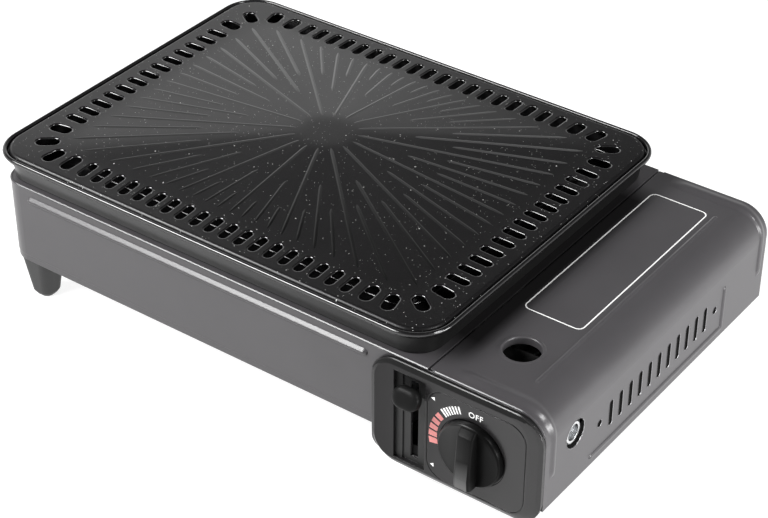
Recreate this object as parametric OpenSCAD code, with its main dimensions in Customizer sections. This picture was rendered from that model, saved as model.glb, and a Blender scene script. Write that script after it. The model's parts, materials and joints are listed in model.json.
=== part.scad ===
// Portable tabletop gas grill: a sheet-metal body with a burner well, a cartridge bay under a
// hinged lid, and a domed, slotted grill plate that lies in a lift-out drip tray.
// Millimetres. In each module x runs from the lid seam, y from the front wall and z from the ground;
// placed() then moves the whole grill so that its origin is under the middle of its box.

/* [Body] */
// Length of the body from its left wall to the lid seam
well_l = 364.4; // [340:0.2:390]
// Depth of the body from front to back
body_d = 280; // [276:1:300]
// Height of the deck above the ground
deck_h = 97; // [95:0.5:106]
// Height of the body's walls
wall_h = 63.5; // [58:0.5:66]
// Thickness of the sheet metal
sheet = 1; // [0.8:0.1:1.2]
// Radius of the body's upright corners
corner_r = 17; // [12:0.5:22]
// Width of the lip that is turned in along the foot of the walls
hem_w = 8; // [7:0.5:12]
// Radius of the stiffening beads in the walls and the lid
bead_r = 2.4; // [2:0.1:3]
// How far a bead stands out of its sheet
bead_out = 1.1; // [0.6:0.1:1.4]
// Depth of the stiffening bead below the deck
bead_drop = 8.7; // [7:0.1:12]

/* [Cartridge bay] */
// Width of the bay from the seam to the lid's side
bay_w = 86; // [84:0.5:96]
// Height of the bay's floor above the ground
floor_h = 16.5; // [15:0.5:18]
// Outer diameter of the gas cartridge
cartridge_d = 68; // [64:0.5:68]
// Height of the cartridge's underside above the bay's floor
cartridge_lift = 4.5; // [4:0.5:6]
// Distance of the partition from the seam
partition_x = 18; // [17.5:0.5:24]
// Travel of the cartridge slide from release to lock
slide_travel = 9; // [6:0.5:10]

/* [Lid] */
// Outer radius of the lid's shoulder
lid_r = 20; // [16:0.5:30]
// Height of the lid's side
lid_side_h = 71; // [66:0.5:74]
// Gap between the lid and what it shuts on
lid_gap = 0.3; // [0.3:0.1:0.6]
// Distance of the hinge axis from the seam, and below the lid's top
hinge_in = 2.4; // [2.4:0.1:2.8]
// Diameter of the hinge pins
hinge_d = 2.4; // [2:0.1:2.6]
// Diameter of the finger hole
finger_d = 25; // [22:0.5:28]
// Number of vent slots in the lid's side
vent_n = 11; // [7:2:13]
// Spacing of the vent slots
vent_pitch = 12; // [10:0.25:13]

/* [Grill plate] */
// Length of the tray's rim, which frames the plate
plate_l = 374.3; // [366:0.1:384]
// Depth of the tray's rim
plate_d = 286.8; // [282:0.1:296]
// How far the rim reaches past the lid seam
rim_over = 1.55; // [0:0.05:2]
// Height of the rim above the deck
rim_h = 21; // [18:0.5:26]
// Corner radius of the rim
rim_r = 28; // [24:0.5:36]
// Rise of the plate's middle above its edge
dome_h = 12; // [8:0.5:16]
// Thickness of the plate
plate_t = 1.4; // [1.2:0.1:2]
// Radius of the smooth disc in the middle of the plate
disc_r = 20; // [16:0.5:24]
// Number of long ribs that reach the disc
rib_n = 16; // [12:2:20]
// Width of a rib at its foot
rib_w = 3.4; // [2.4:0.1:4]
// Height of a rib
rib_h = 1.2; // [0.8:0.1:1.6]
// Length of a drain slot
slot_l = 16.4; // [12:0.2:18]
// Width of a drain slot
slot_w = 6; // [5:0.2:7]
// Number of drain slots along the front and the back, apart from the corner ones
slot_nx = 19; // [13:2:21]
// Number of drain slots along each end, apart from the corner ones
slot_ny = 13; // [9:2:13]

/* [Drip tray] */
// Width of the tray's channel under the slots
channel_w = 37; // [30:0.5:42]
// Height of the wall round the tray's opening
weir_h = 12; // [8:0.5:14]
// Thickness of the tray
tray_t = 1; // [0.8:0.1:1.2]

/* [Controls] */
// Length of the control panel
panel_l = 127.5; // [120:0.5:134]
// Height of the control panel
panel_h = 82; // [78:0.5:83]
// How far the panel stands out of the front wall
panel_t = 4; // [3.5:0.1:5]
// Width of the panel's bevel
panel_bevel = 3; // [2:0.1:4]
// Distance of the knob's axis from the seam
knob_x = 36; // [35:0.5:38]
// Depth of the knob's axis below the deck
knob_drop = 46; // [44:0.5:48]
// Diameter of the knob
knob_d = 47; // [40:0.5:48]
// How far the knob stands out of the front wall
knob_out = 16.1; // [14:0.1:20]
// Diameter of the knob's spindle
spindle_d = 8; // [6:0.2:9]
// Distance of the lever from the seam, towards the left
lever_x = 9.5; // [9:0.1:10]
// Depth of the lever's pivot below the deck
lever_drop = 43.5; // [41:0.5:46]
// Distance of the lever's pivot behind the front wall
lever_y = 36; // [34:0.5:37]
// Reach of the lever from its pivot to the front of its cap
lever_reach = 54; // [52:0.5:54]
// Half of the angle that the lever swings through
lever_swing = 26; // [20:0.5:27]

/* [Burner] */
// Diameter of the burner tube
burner_d = 18; // [14:0.5:20]
// Depth of the burner's axis below the deck
burner_drop = 37; // [33:0.5:41]
// Distance between the burner's two legs
burner_gap = 90; // [70:1:110]
// Diameter of the gas pipe
pipe_d = 6; // [5:0.25:7]

/* [Feet] */
// Length of a left foot at its top
foot_l = 25; // [22:0.5:34]
// Depth of a left foot at its top
foot_d = 24; // [20:0.5:28]
// Share of a foot's size that is left at the ground
foot_taper = 0.72; // [0.6:0.02:0.9]
// Distance of a left foot from the left wall
foot_in = 7; // [6:0.5:14]
// Diameter of a right foot
pad_d = 18; // [14:0.5:22]

/* [Hidden] */
$fn = 48;
eps = 0.01;
fit = 0.05;

// Body
x_left = -well_l;
z_hem = deck_h - wall_h;
z_under = deck_h - sheet;
deck_gap = 1;
x_deck = -deck_gap;
base_top = z_hem + 2 * sheet;
base_right = -partition_x + sheet / 2;
skirt_l = panel_l - bay_w + 2;
bead_end = 28;
bead_z = deck_h - bead_drop;
deck_flange = 7;
hem_band = 5;
hem_step = 0.35;
base_vent_w = 5;
base_vent_l = 60;
base_vent_step = 14;
flange_w = 9;

// Lid and the bay's end walls below it
lid_left = 0.5;
lid_foot = deck_h - lid_side_h;
end_x = bay_w - sheet - lid_gap;
end_z = deck_h - sheet - lid_gap;
end_r = lid_r - sheet - lid_gap;
end_flange = 8;
hinge_z = deck_h - hinge_in;
hinge_x = hinge_in;
ear_t = 2;
ear_y = 2;
ear_r = hinge_in;
finger_x = 35.4;
finger_y = 50.3;
finger_lip = 4;
vent_l = 19.6;
vent_w = 4.2;
vent_y = 137.3;
vent_z = deck_h - 43;
vent_hole_d = 5;
vent_end = (vent_n - 1) / 2 * vent_pitch + 13.5;
inlet_y = 34.5;
inlet_z = deck_h - 31.5;
inlet_af = 17;
inlet_hole_d = 20.4;
inlet_bore_d = 11.5;
inlet_bore_l = 8;
inlet_way_r = 1.6;
inlet_pipe_r = 4;
inlet_l = 13;
inlet_x1 = bay_w - sheet - 2 * lid_gap;
lid_bead_x = 27;
lid_bead_y = 9;
lid_bead_foot = deck_h - 44;
lid_line_x = bay_w - 26;
lid_line_y = 29.5;
lid_line_out = 0.6;
side_bead_y0 = 55;
side_bead_y1 = 222.5;
side_bead_z0 = deck_h - 64;
side_bead_z1 = deck_h - 32;
hinge_pin_l = 8;
hinge_notch = 1.4;

// Plate and tray: insets are measured from the rim's outer edge
plate_cx = rim_over - plate_l / 2;
plate_cy = body_d / 2;
rim_z = deck_h + rim_h;
roll_r = 1.7;
ledge_in = 2 * roll_r - 0.4;
ledge_z = rim_z - 4;
skirt_in = 4.5;
wall_in_top = 5.2;
wall_in_foot = 7.7;
weir_in = wall_in_foot + channel_w;
weir_gap = 1;
weir_drop = 3.5;
open_l = plate_l - 2 * weir_in;
open_d = plate_d - 2 * weir_in;
open_r = 18;
deck_open_l = open_l + 2 * (tray_t + weir_gap);
deck_open_d = open_d + 2 * (tray_t + weir_gap);
deck_open_r = open_r + tray_t + weir_gap;
deck_lip = 5;
edge_z = rim_z + 0.2;
edge_hl = plate_l / 2 - skirt_in;
edge_hd = plate_d / 2 - skirt_in;
edge_r = rim_r - skirt_in;
edge_round = 2.6;
dome_knee = 0.8;
knee_h = 0.8;
slot_in_x = 23.9;
slot_in_y = 21.8;
slot_cx = plate_l / 2 - slot_in_x;
slot_cy = plate_d / 2 - slot_in_y;
slot_px = 12.4;
slot_py = 12.8;
fan_step = 15.2;
fan_w = 8.6;
rib_end_x = slot_cx - slot_l / 2 - 8.2;
rib_end_y = slot_cy - slot_l / 2 - 7.5;
rib_starts = [disc_r + 2, 87, 61, 87];
rib_step = 90 / rib_n;

// Controls
panel_left = bay_w - panel_l;
panel_foot = deck_h - 1.5 - panel_h;
panel_r = 19;
panel_back = 2.6;
panel_mid = 3.4;
face_right = 76.2;
face_top = deck_h - 5.5;
face_r = 14;
field_left = 2;
field_right = 75;
field_top = deck_h - 9.5;
field_foot = deck_h - 79.5;
field_r = 13;
groove_w = 0.7;
groove_t = 0.5;
knob_z = deck_h - knob_drop;
knob_gap = 0.6;
knob_base = 4.6;
bar_w = 10;
bar_l = knob_d - 3;
spindle_r = spindle_d / 2;
well_ring = 0.7;
well_gap = 0.8;
panel_screw_in = 2.5;
knob_skin = 4;
knob_boss_r = 9;
spindle_in = 22;
recess_left = 14;
recess_right = 10;
recess_t = 2.4;
recess_foot = panel_foot + 5;
recess_h = panel_h - 12;
step_left = 8.5;
step_right = 8;
step_t = 0.9;
lever_z = deck_h - lever_drop;
arm_t = 4;
arm_h = 7;
lever_slot_w = arm_t + 1.6;
lever_slot_z0 = panel_foot + 9;
lever_slot_z1 = lever_z + lever_y * tan(lever_swing) + 12;
cap_w = 20;
cap_h = 15;
cap_t = 6.5;
cap_in = 3;
cap_crown = 0.8;
arm_in = 3;
hub_r = 5.5;
hub_left = 2.5;
hub_right = 3.7;
pivot_r = 2;
crank_r = slide_travel / (2 * sin(lever_swing));
crank_pin_r = 2;
pivot_head = 0.8;
post_gap = 1;
post_w = 18;
post_foot = 11;
bracket_t = 1.5;

// Bay
floor_top = floor_h + sheet;
floor_left = -partition_x + sheet;
floor_right = bay_w - 14;
floor_wall = 14;
floor_side = 31;
floor_gap = 0.2;
floor_vent_y = 50;
floor_vent_step = 17;
cart_x = knob_x;
cart_z = floor_top + cartridge_lift + cartridge_d / 2;
cart_y = 76;
slide_gap = 0.3;
strip_z = floor_top + slide_gap;
strip_t = 1.5;
strip_x0 = -lever_x - 5.5;
strip_x1 = -lever_x + 3;
guide_lip = 2;
ear_gap = 0.25;
drive_w = 16;
drive_top = 7;
drive_play = 5;
slide_back = body_d - sheet - 2;
pusher_w = 40;
pusher_h = 56;
pusher_foot = 15;
cradle_w = 56;
cradle_t = 10;
cradle_lip = 2.5;
cradle_front = cart_y + cartridge_d / 2;
cradle_rear = slide_back - pusher_foot - slide_travel - cradle_t - 13;
guide_t = 12;
guide_front = cart_y + cartridge_d / 5;
bracket_y = cart_y - 15;
bracket_left = -lever_x + 7;
bracket_right = floor_right - 3;
bracket_h = 30;
bracket_foot = 10;
collar_r = 15;
notch_w = 5;
notch_h = 21;

// Gas train
valve_w = 32;
valve_h = 34;
valve_l = 39;
valve_flange = 44;
valve_flange_t = 3;
reg_y = sheet + valve_l;
reg_l = 18;
reg_r = 24;
nozzle_y = reg_y + reg_l;
nozzle_l = cart_y - nozzle_y - 2;
nozzle_r = 8;
socket_r = 4.5;
reg_neck = 4;
pipe_y = reg_y + 12;
pipe_bend = 10;
burner_r = burner_d / 2;
burner_z = deck_h - burner_drop;
burner_wall = 1.5;
burner_y = plate_cy - burner_gap / 2;
pipe_x = -partition_x - 14;
pipe_end = pipe_x - 2 * pipe_bend - 4;
jet_l = 14;
jet_r = 4;
jet_tip_r = 2.5;
jet_hole_r = 0.6;
mouth_l = 14;
mouth_out = 3;
port_r = 1.2;
port_margin = 4;
port_short = 70;
burner_x0 = pipe_end - jet_l - 4;
burner_x1 = plate_cx - 100;
burner_x2 = burner_x0 - 20;
port_n = 13;
saddle_t = 2;
saddle_foot = 8;
saddle_xs = [burner_x1 + 16, burner_x2 - 24];
electrode_x = saddle_xs[1] + saddle_t + 3.2;
electrode_y = burner_y + burner_r + 7;
electrode_r = 2.6;
spark_r = 0.8;
spark_gap = 3;
piezo_r = 7;
piezo_z = knob_z + valve_h / 2 + piezo_r;
piezo_y = 20;
piezo_left = knob_x - 14;
piezo_right = knob_x + 16;
lead_r = 1.3;
lead_low_z = piezo_z - 2;
lead_hole_y = 63;
lead_base_z = base_top + 4;
lead_route = [
    [piezo_left, piezo_y, piezo_z],
    [piezo_left - 4, piezo_y, piezo_z],
    [piezo_left - 10, piezo_y + 10, piezo_z],
    [2, 57, piezo_z],
    [pipe_x + 2, lead_hole_y + 1, lead_low_z],
    [pipe_x - 20, lead_hole_y + 5, piezo_z - 5],
    [pipe_x - 30, lead_hole_y + 11, lead_base_z + 2],
    [electrode_x + 18, electrode_y - 6, lead_base_z + 1],
    [electrode_x + 6, electrode_y, lead_base_z],
    [electrode_x, electrode_y, lead_base_z]
];

// Feet and screws
pad_x = bay_w - 30;
pad_in = 34;
stem_r = 3;
foot_front = 2;
foot_r = foot_d * foot_taper * 0.4;
foot_edge = 4;
screw_r = 1.5;
head_r = 3;
head_t = 1.8;
foot_screw_l = 8;
base_screw_x = 70;
base_screw_y = sheet + hem_w / 2;
base_screw_at = [
    for (x = [x_left + base_screw_x, -base_screw_x], y = [base_screw_y, body_d - base_screw_y]) [x, y]
];
panel_screw_at = [
    [panel_left + head_r * 3, deck_h - 20],
    [panel_left + head_r * 3, deck_h - 52],
    [bay_w - 8, deck_h - 56]
];
foot_screw_at = [
    for (y = [foot_front + foot_d / 2, body_d - foot_front - foot_d / 2])
        [x_left + foot_in + foot_l / 2, y]
];

// The origin lies under the middle of the grill's box
x_seam = (plate_l - rim_over - bay_w - bead_out) / 2;
y_front = (knob_out - plate_cy - plate_d / 2) / 2;

// Shared shapes

module placed() {
    translate([x_seam, y_front, 0]) children();
}

// Extrudes a drawing in x and z from y0 to y1
module along_y(y0, y1) {
    translate([0, y1, 0]) rotate([90, 0, 0]) linear_extrude(y1 - y0) children();
}

// Extrudes a drawing in y and z from x0 to x1
module along_x(x0, x1) {
    translate([x0, 0, 0]) rotate([90, 0, 90]) linear_extrude(x1 - x0) children();
}

// Extrudes a drawing in x and y from z0 to z1
module along_z(z0, z1) {
    translate([0, 0, z0]) linear_extrude(z1 - z0) children();
}

module block(low, high) {
    translate(low) cube(high - low);
}

module rod_x(x0, x1, y, z, r) {
    translate([x0, y, z]) rotate([0, 90, 0]) cylinder(r = r, h = x1 - x0);
}

module rod_y(y0, y1, x, z, r) {
    translate([x, y1, z]) rotate([90, 0, 0]) cylinder(r = r, h = y1 - y0);
}

module rod_z(z0, z1, x, y, r) {
    translate([x, y, z0]) cylinder(r = r, h = z1 - z0);
}

// A straight round rod between two points
module rod(a, b, r) {
    v = b - a;
    l = norm(v);
    translate(a) rotate([0, acos(v[2] / l), atan2(v[1], v[0])]) cylinder(r = r, h = l, $fn = 16);
}

module rounded(l, d, r) {
    square([l - 2 * r, d], center = true);
    square([l, d - 2 * r], center = true);
    for (x = [-1, 1], y = [-1, 1])
        translate([x * (l / 2 - r), y * (d / 2 - r)]) circle(r);
}

// The rim's outline, drawn in by inset
module rim_outline(inset) {
    translate([plate_cx, plate_cy]) rounded(plate_l - 2 * inset, plate_d - 2 * inset, rim_r - inset);
}

module stadium(l, w) {
    square([l - w, w], center = true);
    for (x = [-1, 1]) translate([x * (l - w) / 2, 0]) circle(w / 2);
}

// A pan-head screw whose head rests on z = 0 and whose shank points down
module screw(l) {
    cylinder(r = head_r, h = head_t);
    translate([0, 0, -l]) cylinder(r = screw_r, h = l + eps);
}

// Body

// The body's outline from above, drawn in by inset and open towards the bay
module plan(inset, x1) {
    r = corner_r - inset;
    x0 = x_left + inset;
    translate([x0 + r, inset]) square([x1 - x0 - r, body_d - 2 * inset]);
    translate([x0, inset + r]) square([r, body_d - 2 * inset - 2 * r]);
    for (y = [inset + r, body_d - inset - r]) translate([x0 + r, y]) circle(r);
}

// The end walls' outline under the lid, drawn in by inset
module end_profile(inset) {
    x0 = x_deck - sheet;
    x1 = end_x - inset;
    z1 = end_z - inset;
    r = end_r - inset;
    foot_r = panel_r - 1;
    translate([x0, floor_h]) square([x1 - r - x0, z1 - floor_h]);
    translate([x0, floor_h + foot_r]) square([x1 - x0, z1 - r - floor_h - foot_r]);
    translate([x1 - r, z1 - r]) circle(r);
    translate([x1 - foot_r, floor_h + foot_r]) circle(foot_r);
}

// Flange that carries the lid along the top and side of an end wall
module end_flange_profile() {
    difference() {
        intersection() {
            end_profile(0);
            translate([3 * hinge_in + 1, lid_foot + 4]) square([bay_w, deck_h]);
        }
        end_profile(sheet);
    }
}

// Skirt that drops the end walls to the bay's floor, left of the seam
module end_skirt() {
    r = 8;
    difference() {
        translate([-skirt_l, floor_h]) square([skirt_l, z_hem + hem_w - floor_h]);
        translate([-skirt_l + r - eps, floor_h + r - eps]) difference() {
            translate([-r, -r]) square(r);
            circle(r);
        }
    }
}

// A half-round bead along a wall whose outer face is at y; out is -1 at the front and 1 at the back
module wall_bead(y, out) {
    c = y - out * (bead_r - bead_out);
    y0 = out < 0 ? y - bead_r : y - sheet / 2;
    intersection() {
        union() {
            rod_x(x_left + bead_end, panel_left - 8, c, bead_z, bead_r);
            for (x = [x_left + bead_end, panel_left - 8]) translate([x, c, bead_z]) sphere(bead_r);
        }
        block([x_left, y0, z_hem], [0, y0 + bead_r + sheet / 2, deck_h]);
    }
}

module body_shell() {
    color("#77777a") difference() {
        union() {
            along_z(z_hem, z_hem + hem_band) difference() {
                plan(hem_step, x_deck);
                plan(sheet, 0);
            }
            along_z(z_hem + hem_band, deck_h) difference() {
                plan(0, x_deck);
                plan(sheet, 0);
            }
            along_z(z_under, deck_h) plan(0, x_deck);
            along_z(z_hem, z_hem + sheet) difference() {
                plan(hem_step, base_right);
                plan(hem_w, 0);
            }
            for (y = [0, body_d - sheet]) along_y(y, y + sheet) {
                end_profile(0);
                end_skirt();
            }
            along_y(0, sheet + end_flange) end_flange_profile();
            along_y(body_d - sheet - end_flange, body_d) end_flange_profile();
            block([x_deck - sheet, sheet, deck_h - deck_flange], [x_deck, body_d - sheet, deck_h]);
            along_z(z_under - deck_lip, deck_h) translate([plate_cx, plate_cy])
                rounded(deck_open_l + 2 * sheet, deck_open_d + 2 * sheet, deck_open_r + sheet);
            wall_bead(0, -1);
            wall_bead(body_d, 1);
        }
        along_z(z_under - deck_lip - 1, deck_h + 1) translate([plate_cx, plate_cy])
            rounded(deck_open_l, deck_open_d, deck_open_r);
        rod_y(-1, sheet + 1, knob_x, knob_z, spindle_r + 1);
        block([-lever_x - lever_slot_w / 2, -1, lever_slot_z0],
              [-lever_x + lever_slot_w / 2, sheet + 1, lever_slot_z1]);
        for (p = panel_screw_at) rod_y(-1, sheet + 1, p[0], p[1], screw_r + fit);
        for (p = base_screw_at) rod_z(z_hem - 1, z_hem + 2 * sheet, p[0], p[1], screw_r + fit);
    }
}

module base_plate() {
    color("#8d8d90") difference() {
        along_z(z_hem + sheet, base_top) plan(sheet + lid_gap, base_right);
        for (x = [-1, 1], k = [-3 : 3])
            translate([plate_cx + x * base_vent_l * 0.75, plate_cy + k * base_vent_step, z_hem])
                linear_extrude(3 * sheet) stadium(base_vent_l, base_vent_w);
        for (p = concat(base_screw_at, foot_screw_at))
            rod_z(z_hem, base_top + 1, p[0], p[1], screw_r + fit);
    }
}

module partition() {
    x0 = -partition_x - sheet;
    y0 = sheet + lid_gap;
    y1 = body_d - sheet - lid_gap;
    color("#a9abad") difference() {
        union() {
            block([x0, y0, base_top], [x0 + sheet, y1, z_under]);
            block([x0, y0, z_under - sheet], [x0 + flange_w, y1, z_under]);
            block([x0 - flange_w, y0, base_top], [x0 + sheet, y1, base_top + sheet]);
        }
        rod_x(x0 - 1, x0 + sheet + 1, pipe_y, burner_z, pipe_d / 2 + 1);
        rod_x(x0 - 1, x0 + sheet + 1, lead_hole_y, lead_low_z, lead_r + 2.5);
    }
}

// Cartridge bay

module bay_floor() {
    y0 = sheet + floor_gap;
    y1 = body_d - sheet - floor_gap;
    z1 = floor_h + floor_wall;
    color("#8d8d90") difference() {
        union() {
            block([floor_left, y0, floor_h], [floor_right, y1, floor_top]);
            block([floor_left, y0, floor_h], [floor_left + sheet, y1, z_hem + floor_wall / 2]);
            block([floor_right - sheet, y0, floor_h], [floor_right, y1, floor_h + floor_side]);
            for (y = [y0, y1 - sheet])
                block([floor_left, y, floor_h], [floor_right, y + sheet, z1]);
        }
        for (k = [0 : 4])
            translate([cart_x, cart_y + floor_vent_y + floor_vent_step * k, floor_h - 1])
                linear_extrude(3 * sheet) stadium(base_vent_l / 2, base_vent_w);
        for (y = [pad_in, body_d - pad_in])
            rod_z(floor_h - 1, floor_top + 1, pad_x, y, stem_r + fit);
    }
}

// Upright plate that lines up the cartridge's collar with the nozzle
module cartridge_bracket() {
    y0 = bracket_y;
    y1 = bracket_y + bracket_t;
    color("#a9abad") difference() {
        union() {
            block([bracket_left, y0, floor_top], [bracket_right, y1, cart_z + bracket_h]);
            block([bracket_left, y0 - bracket_foot, floor_top], [bracket_right, y1, floor_top + bracket_t]);
        }
        rod_y(y0 - 1, y1 + 1, cart_x, cart_z, collar_r);
        block([cart_x - notch_w / 2, y0 - 1, cart_z], [cart_x + notch_w / 2, y1 + 1, cart_z + notch_h]);
    }
}

// A saddle in which the cartridge lies
module cradle(y) {
    y1 = y + cradle_t;
    z1 = floor_top + cartridge_lift + cradle_lip;
    color("#55565a") difference() {
        block([cart_x - cradle_w / 2, y, floor_top], [cart_x + cradle_w / 2, y1, z1]);
        rod_y(y - 1, y1 + 1, cart_x, cart_z, cartridge_d / 2 + slide_gap);
    }
}

// A clip that holds the cartridge slide down on the floor
module slide_guide(y) {
    y1 = y + guide_t;
    top = strip_z + strip_t + slide_gap;
    color("#a9abad") difference() {
        block([strip_x0 - 3 * slide_gap, y, floor_top], [strip_x1 + guide_lip, y1, top + bracket_t]);
        block([strip_x0 - slide_gap, y - 1, floor_top - 1], [strip_x1 + slide_gap, y1 + 1, top]);
    }
}

// Strip on the bay's floor that draws the cartridge forward when the lever goes down
module cartridge_slide() {
    pin_y = lever_y + crank_r * sin(lever_swing);
    pin_z = lever_z + crank_r;
    pusher_x = cart_x + pusher_w / 2;
    color("#b3b5b8") difference() {
        union() {
            block([strip_x0, pin_y - drive_w / 2, strip_z], [strip_x1, slide_back, strip_z + strip_t]);
            block([strip_x0, slide_back - pusher_foot, strip_z], [pusher_x, slide_back, strip_z + strip_t]);
            block([pusher_x - pusher_w, slide_back - strip_t, strip_z],
                  [pusher_x, slide_back, strip_z + pusher_h]);
            block([strip_x0, pin_y - drive_w / 2, strip_z],
                  [strip_x0 + strip_t, pin_y + drive_w / 2, pin_z + drive_top]);
        }
        along_x(strip_x0 - 1, strip_x0 + strip_t + 1) translate([pin_y, pin_z - drive_play / 6])
            rotate([0, 0, 90]) stadium(2 * crank_pin_r + drive_play, 2 * (crank_pin_r + ear_gap));
    }
}

// Controls

module panel_outline(inset) {
    translate([panel_left + panel_l / 2, panel_foot + panel_h / 2])
        rounded(panel_l - 2 * inset, panel_h - 2 * inset, panel_r - inset, $fn = 32);
}

// A rounded rectangle in x and z between two corners
module upright(low, high, r) {
    translate((low + high) / 2) rounded(high[0] - low[0], high[1] - low[1], r, $fn = 32);
}

// The panel's flat face, which ends short of its right-hand edge
module panel_face() {
    upright([panel_left + panel_bevel, panel_foot + panel_bevel], [face_right, face_top], face_r);
}

// The knob's field on the panel, drawn in by inset
module knob_field(inset) {
    low = [field_left + inset, field_foot + inset];
    high = [field_right - inset, field_top - inset];
    upright(low, high, field_r - inset);
}

module control_panel() {
    color("#3a383a") difference() {
        hull() {
            along_y(-panel_back, 0) panel_outline(0);
            along_y(-panel_mid, -panel_back) panel_outline(panel_bevel);
            along_y(-panel_t, -panel_mid) panel_face();
        }
        along_y(-panel_t - 1, groove_t - panel_t) difference() {
            knob_field(0);
            knob_field(groove_w);
        }
        rod_y(-panel_t - 1, 1, knob_x, knob_z, spindle_r + 1);
        rod_y(-panel_t - 1, well_ring - panel_t, knob_x, knob_z, knob_d / 2 + well_gap);
        block([-lever_x - recess_left, -panel_t - 1, recess_foot],
              [-lever_x + recess_right, recess_t - panel_t, recess_foot + recess_h]);
        block([-lever_x - step_left, -panel_t - 1, recess_foot],
              [-lever_x + step_right, recess_t + step_t - panel_t, recess_foot + recess_h]);
        block([-lever_x - lever_slot_w / 2, -panel_t - 1, lever_slot_z0],
              [-lever_x + lever_slot_w / 2, 1, lever_slot_z1]);
        for (p = panel_screw_at) rod_y(-panel_screw_in, 1, p[0], p[1], screw_r);
    }
}

module knob() {
    y0 = -panel_t - knob_gap + well_ring;
    bar_foot = y0 - knob_base;
    color("#2b2c2e") difference() {
        union() {
            translate([knob_x, y0, knob_z]) rotate([90, 0, 0])
                cylinder(r1 = knob_d / 2, r2 = knob_d / 2 - 1, h = knob_base);
            along_y(-knob_out, bar_foot + 1) translate([knob_x, knob_z]) rotate([0, 0, 90])
                stadium(bar_l, bar_w);
            rod_y(knob_skin - 1 - knob_out, y0, knob_x, knob_z, knob_boss_r);
        }
        rod_y(knob_skin - knob_out, 1, knob_x, knob_z, spindle_r);
    }
}

module spindle() {
    color("#b9bbbe") rod_y(knob_skin - knob_out, sheet + spindle_in, knob_x, knob_z, spindle_r);
}

// Moves a lever that is drawn level, with its pivot at the origin, to its upper rest
module lever_at_rest() {
    translate([-lever_x, lever_y, lever_z]) rotate([-lever_swing, 0, 0]) children();
}

module lever_arm() {
    color("#b3b5b8") lever_at_rest() difference() {
        union() {
            block([-arm_t / 2, arm_in - lever_reach, -arm_h / 2], [arm_t / 2, 0, arm_h / 2]);
            rod_x(-hub_left, hub_right, 0, 0, hub_r);
            along_x(-arm_t / 2, arm_t / 2) {
                translate([-arm_h / 2, 0]) square([arm_h, crank_r]);
                translate([0, crank_r]) circle(arm_h / 2);
            }
        }
        rod_x(-hub_left - 1, hub_right + 1, 0, 0, pivot_r + fit);
        rod_x(-hub_left - 1, hub_right + 1, 0, crank_r, crank_pin_r);
    }
}

module lever_cap() {
    color("#2b2c2e") lever_at_rest() difference() {
        union() {
            along_y(-lever_reach, -lever_reach + cap_t) stadium(cap_w, cap_h);
            along_y(-lever_reach - cap_crown, -lever_reach + 1) stadium(cap_w - cap_in, cap_h - cap_in);
        }
        block([-arm_t / 2, arm_in - lever_reach, -arm_h / 2], [arm_t / 2, 0, arm_h / 2]);
    }
}

module crank_pin() {
    color("#b9bbbe") lever_at_rest()
        rod_x(strip_x0 + lever_x + 2 * fit, arm_t / 2, 0, crank_r, crank_pin_r);
}

module lever_bracket() {
    x0 = strip_x1 + post_gap;
    y0 = lever_y - post_w / 2;
    y1 = lever_y + post_w / 2;
    color("#a9abad") difference() {
        union() {
            block([x0, y0, floor_top], [x0 + bracket_t, y1, lever_z + drive_top]);
            block([x0, y0, floor_top], [x0 + post_foot, y1, floor_top + bracket_t]);
        }
        rod_x(x0 - 1, x0 + bracket_t + 1, lever_y, lever_z, pivot_r);
    }
}

module lever_pivot() {
    x0 = -lever_x - hub_left - ear_gap;
    color("#b9bbbe") {
        rod_x(x0, strip_x1 + post_gap + bracket_t, lever_y, lever_z, pivot_r);
        rod_x(x0 - pivot_head, x0, lever_y, lever_z, pivot_r * 1.7);
    }
}

// Gas train

module valve_body() {
    z0 = knob_z - valve_h / 2;
    z1 = knob_z + valve_h / 2;
    y1 = sheet + valve_flange_t;
    color("#b0b2b4") difference() {
        union() {
            block([knob_x - valve_w / 2, sheet, z0], [knob_x + valve_w / 2, reg_y, z1]);
            block([knob_x - valve_flange / 2, sheet, z0], [knob_x + valve_flange / 2, y1, z1]);
        }
        rod_y(0, sheet + spindle_in + 2, knob_x, knob_z, spindle_r + fit);
    }
}

// Pressure regulator: two drawn cups clamped round a diaphragm
module regulator() {
    color("#c2c4c6") {
        translate([cart_x, reg_y, cart_z]) rotate([-90, 0, 0]) rotate_extrude()
            polygon([[0, 0], [reg_r - 5, 0], [reg_r - 2, 5], [reg_r + 2, 6], [reg_r + 2, 9],
                     [reg_r - 2, 10], [reg_r - 6, reg_l], [0, reg_l]]);
        rod_x(cart_x - reg_r - reg_neck, cart_x - reg_r / 2, pipe_y, burner_z, pipe_d / 2 + 2);
    }
}

module cartridge_nozzle() {
    color("#c8a24a") difference() {
        union() {
            rod_y(nozzle_y, nozzle_y + nozzle_l, cart_x, cart_z, nozzle_r);
            rod_y(nozzle_y + nozzle_l / 3, nozzle_y + nozzle_l / 2, cart_x, cart_z, nozzle_r + 3);
        }
        rod_y(nozzle_y + nozzle_l / 2, nozzle_y + nozzle_l + 1, cart_x, cart_z, socket_r);
    }
}

// A bend of the gas pipe in the level plane, about a centre
module pipe_bend_at(x, y, turn) {
    translate([x, y, burner_z]) rotate([0, 0, turn]) rotate_extrude(angle = 90)
        translate([pipe_bend, 0]) circle(pipe_d / 2);
}

module gas_pipe() {
    r = pipe_d / 2;
    x1 = pipe_x - pipe_bend;
    color("#b87a4b") {
        rod_x(pipe_x, cart_x - reg_r - reg_neck, pipe_y, burner_z, r);
        pipe_bend_at(pipe_x, pipe_y + pipe_bend, 180);
        rod_y(pipe_y + pipe_bend, burner_y - pipe_bend, x1, burner_z, r);
        pipe_bend_at(x1 - pipe_bend, burner_y - pipe_bend, 0);
        rod_x(pipe_end, x1 - pipe_bend, burner_y, burner_z, r);
    }
}

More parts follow.
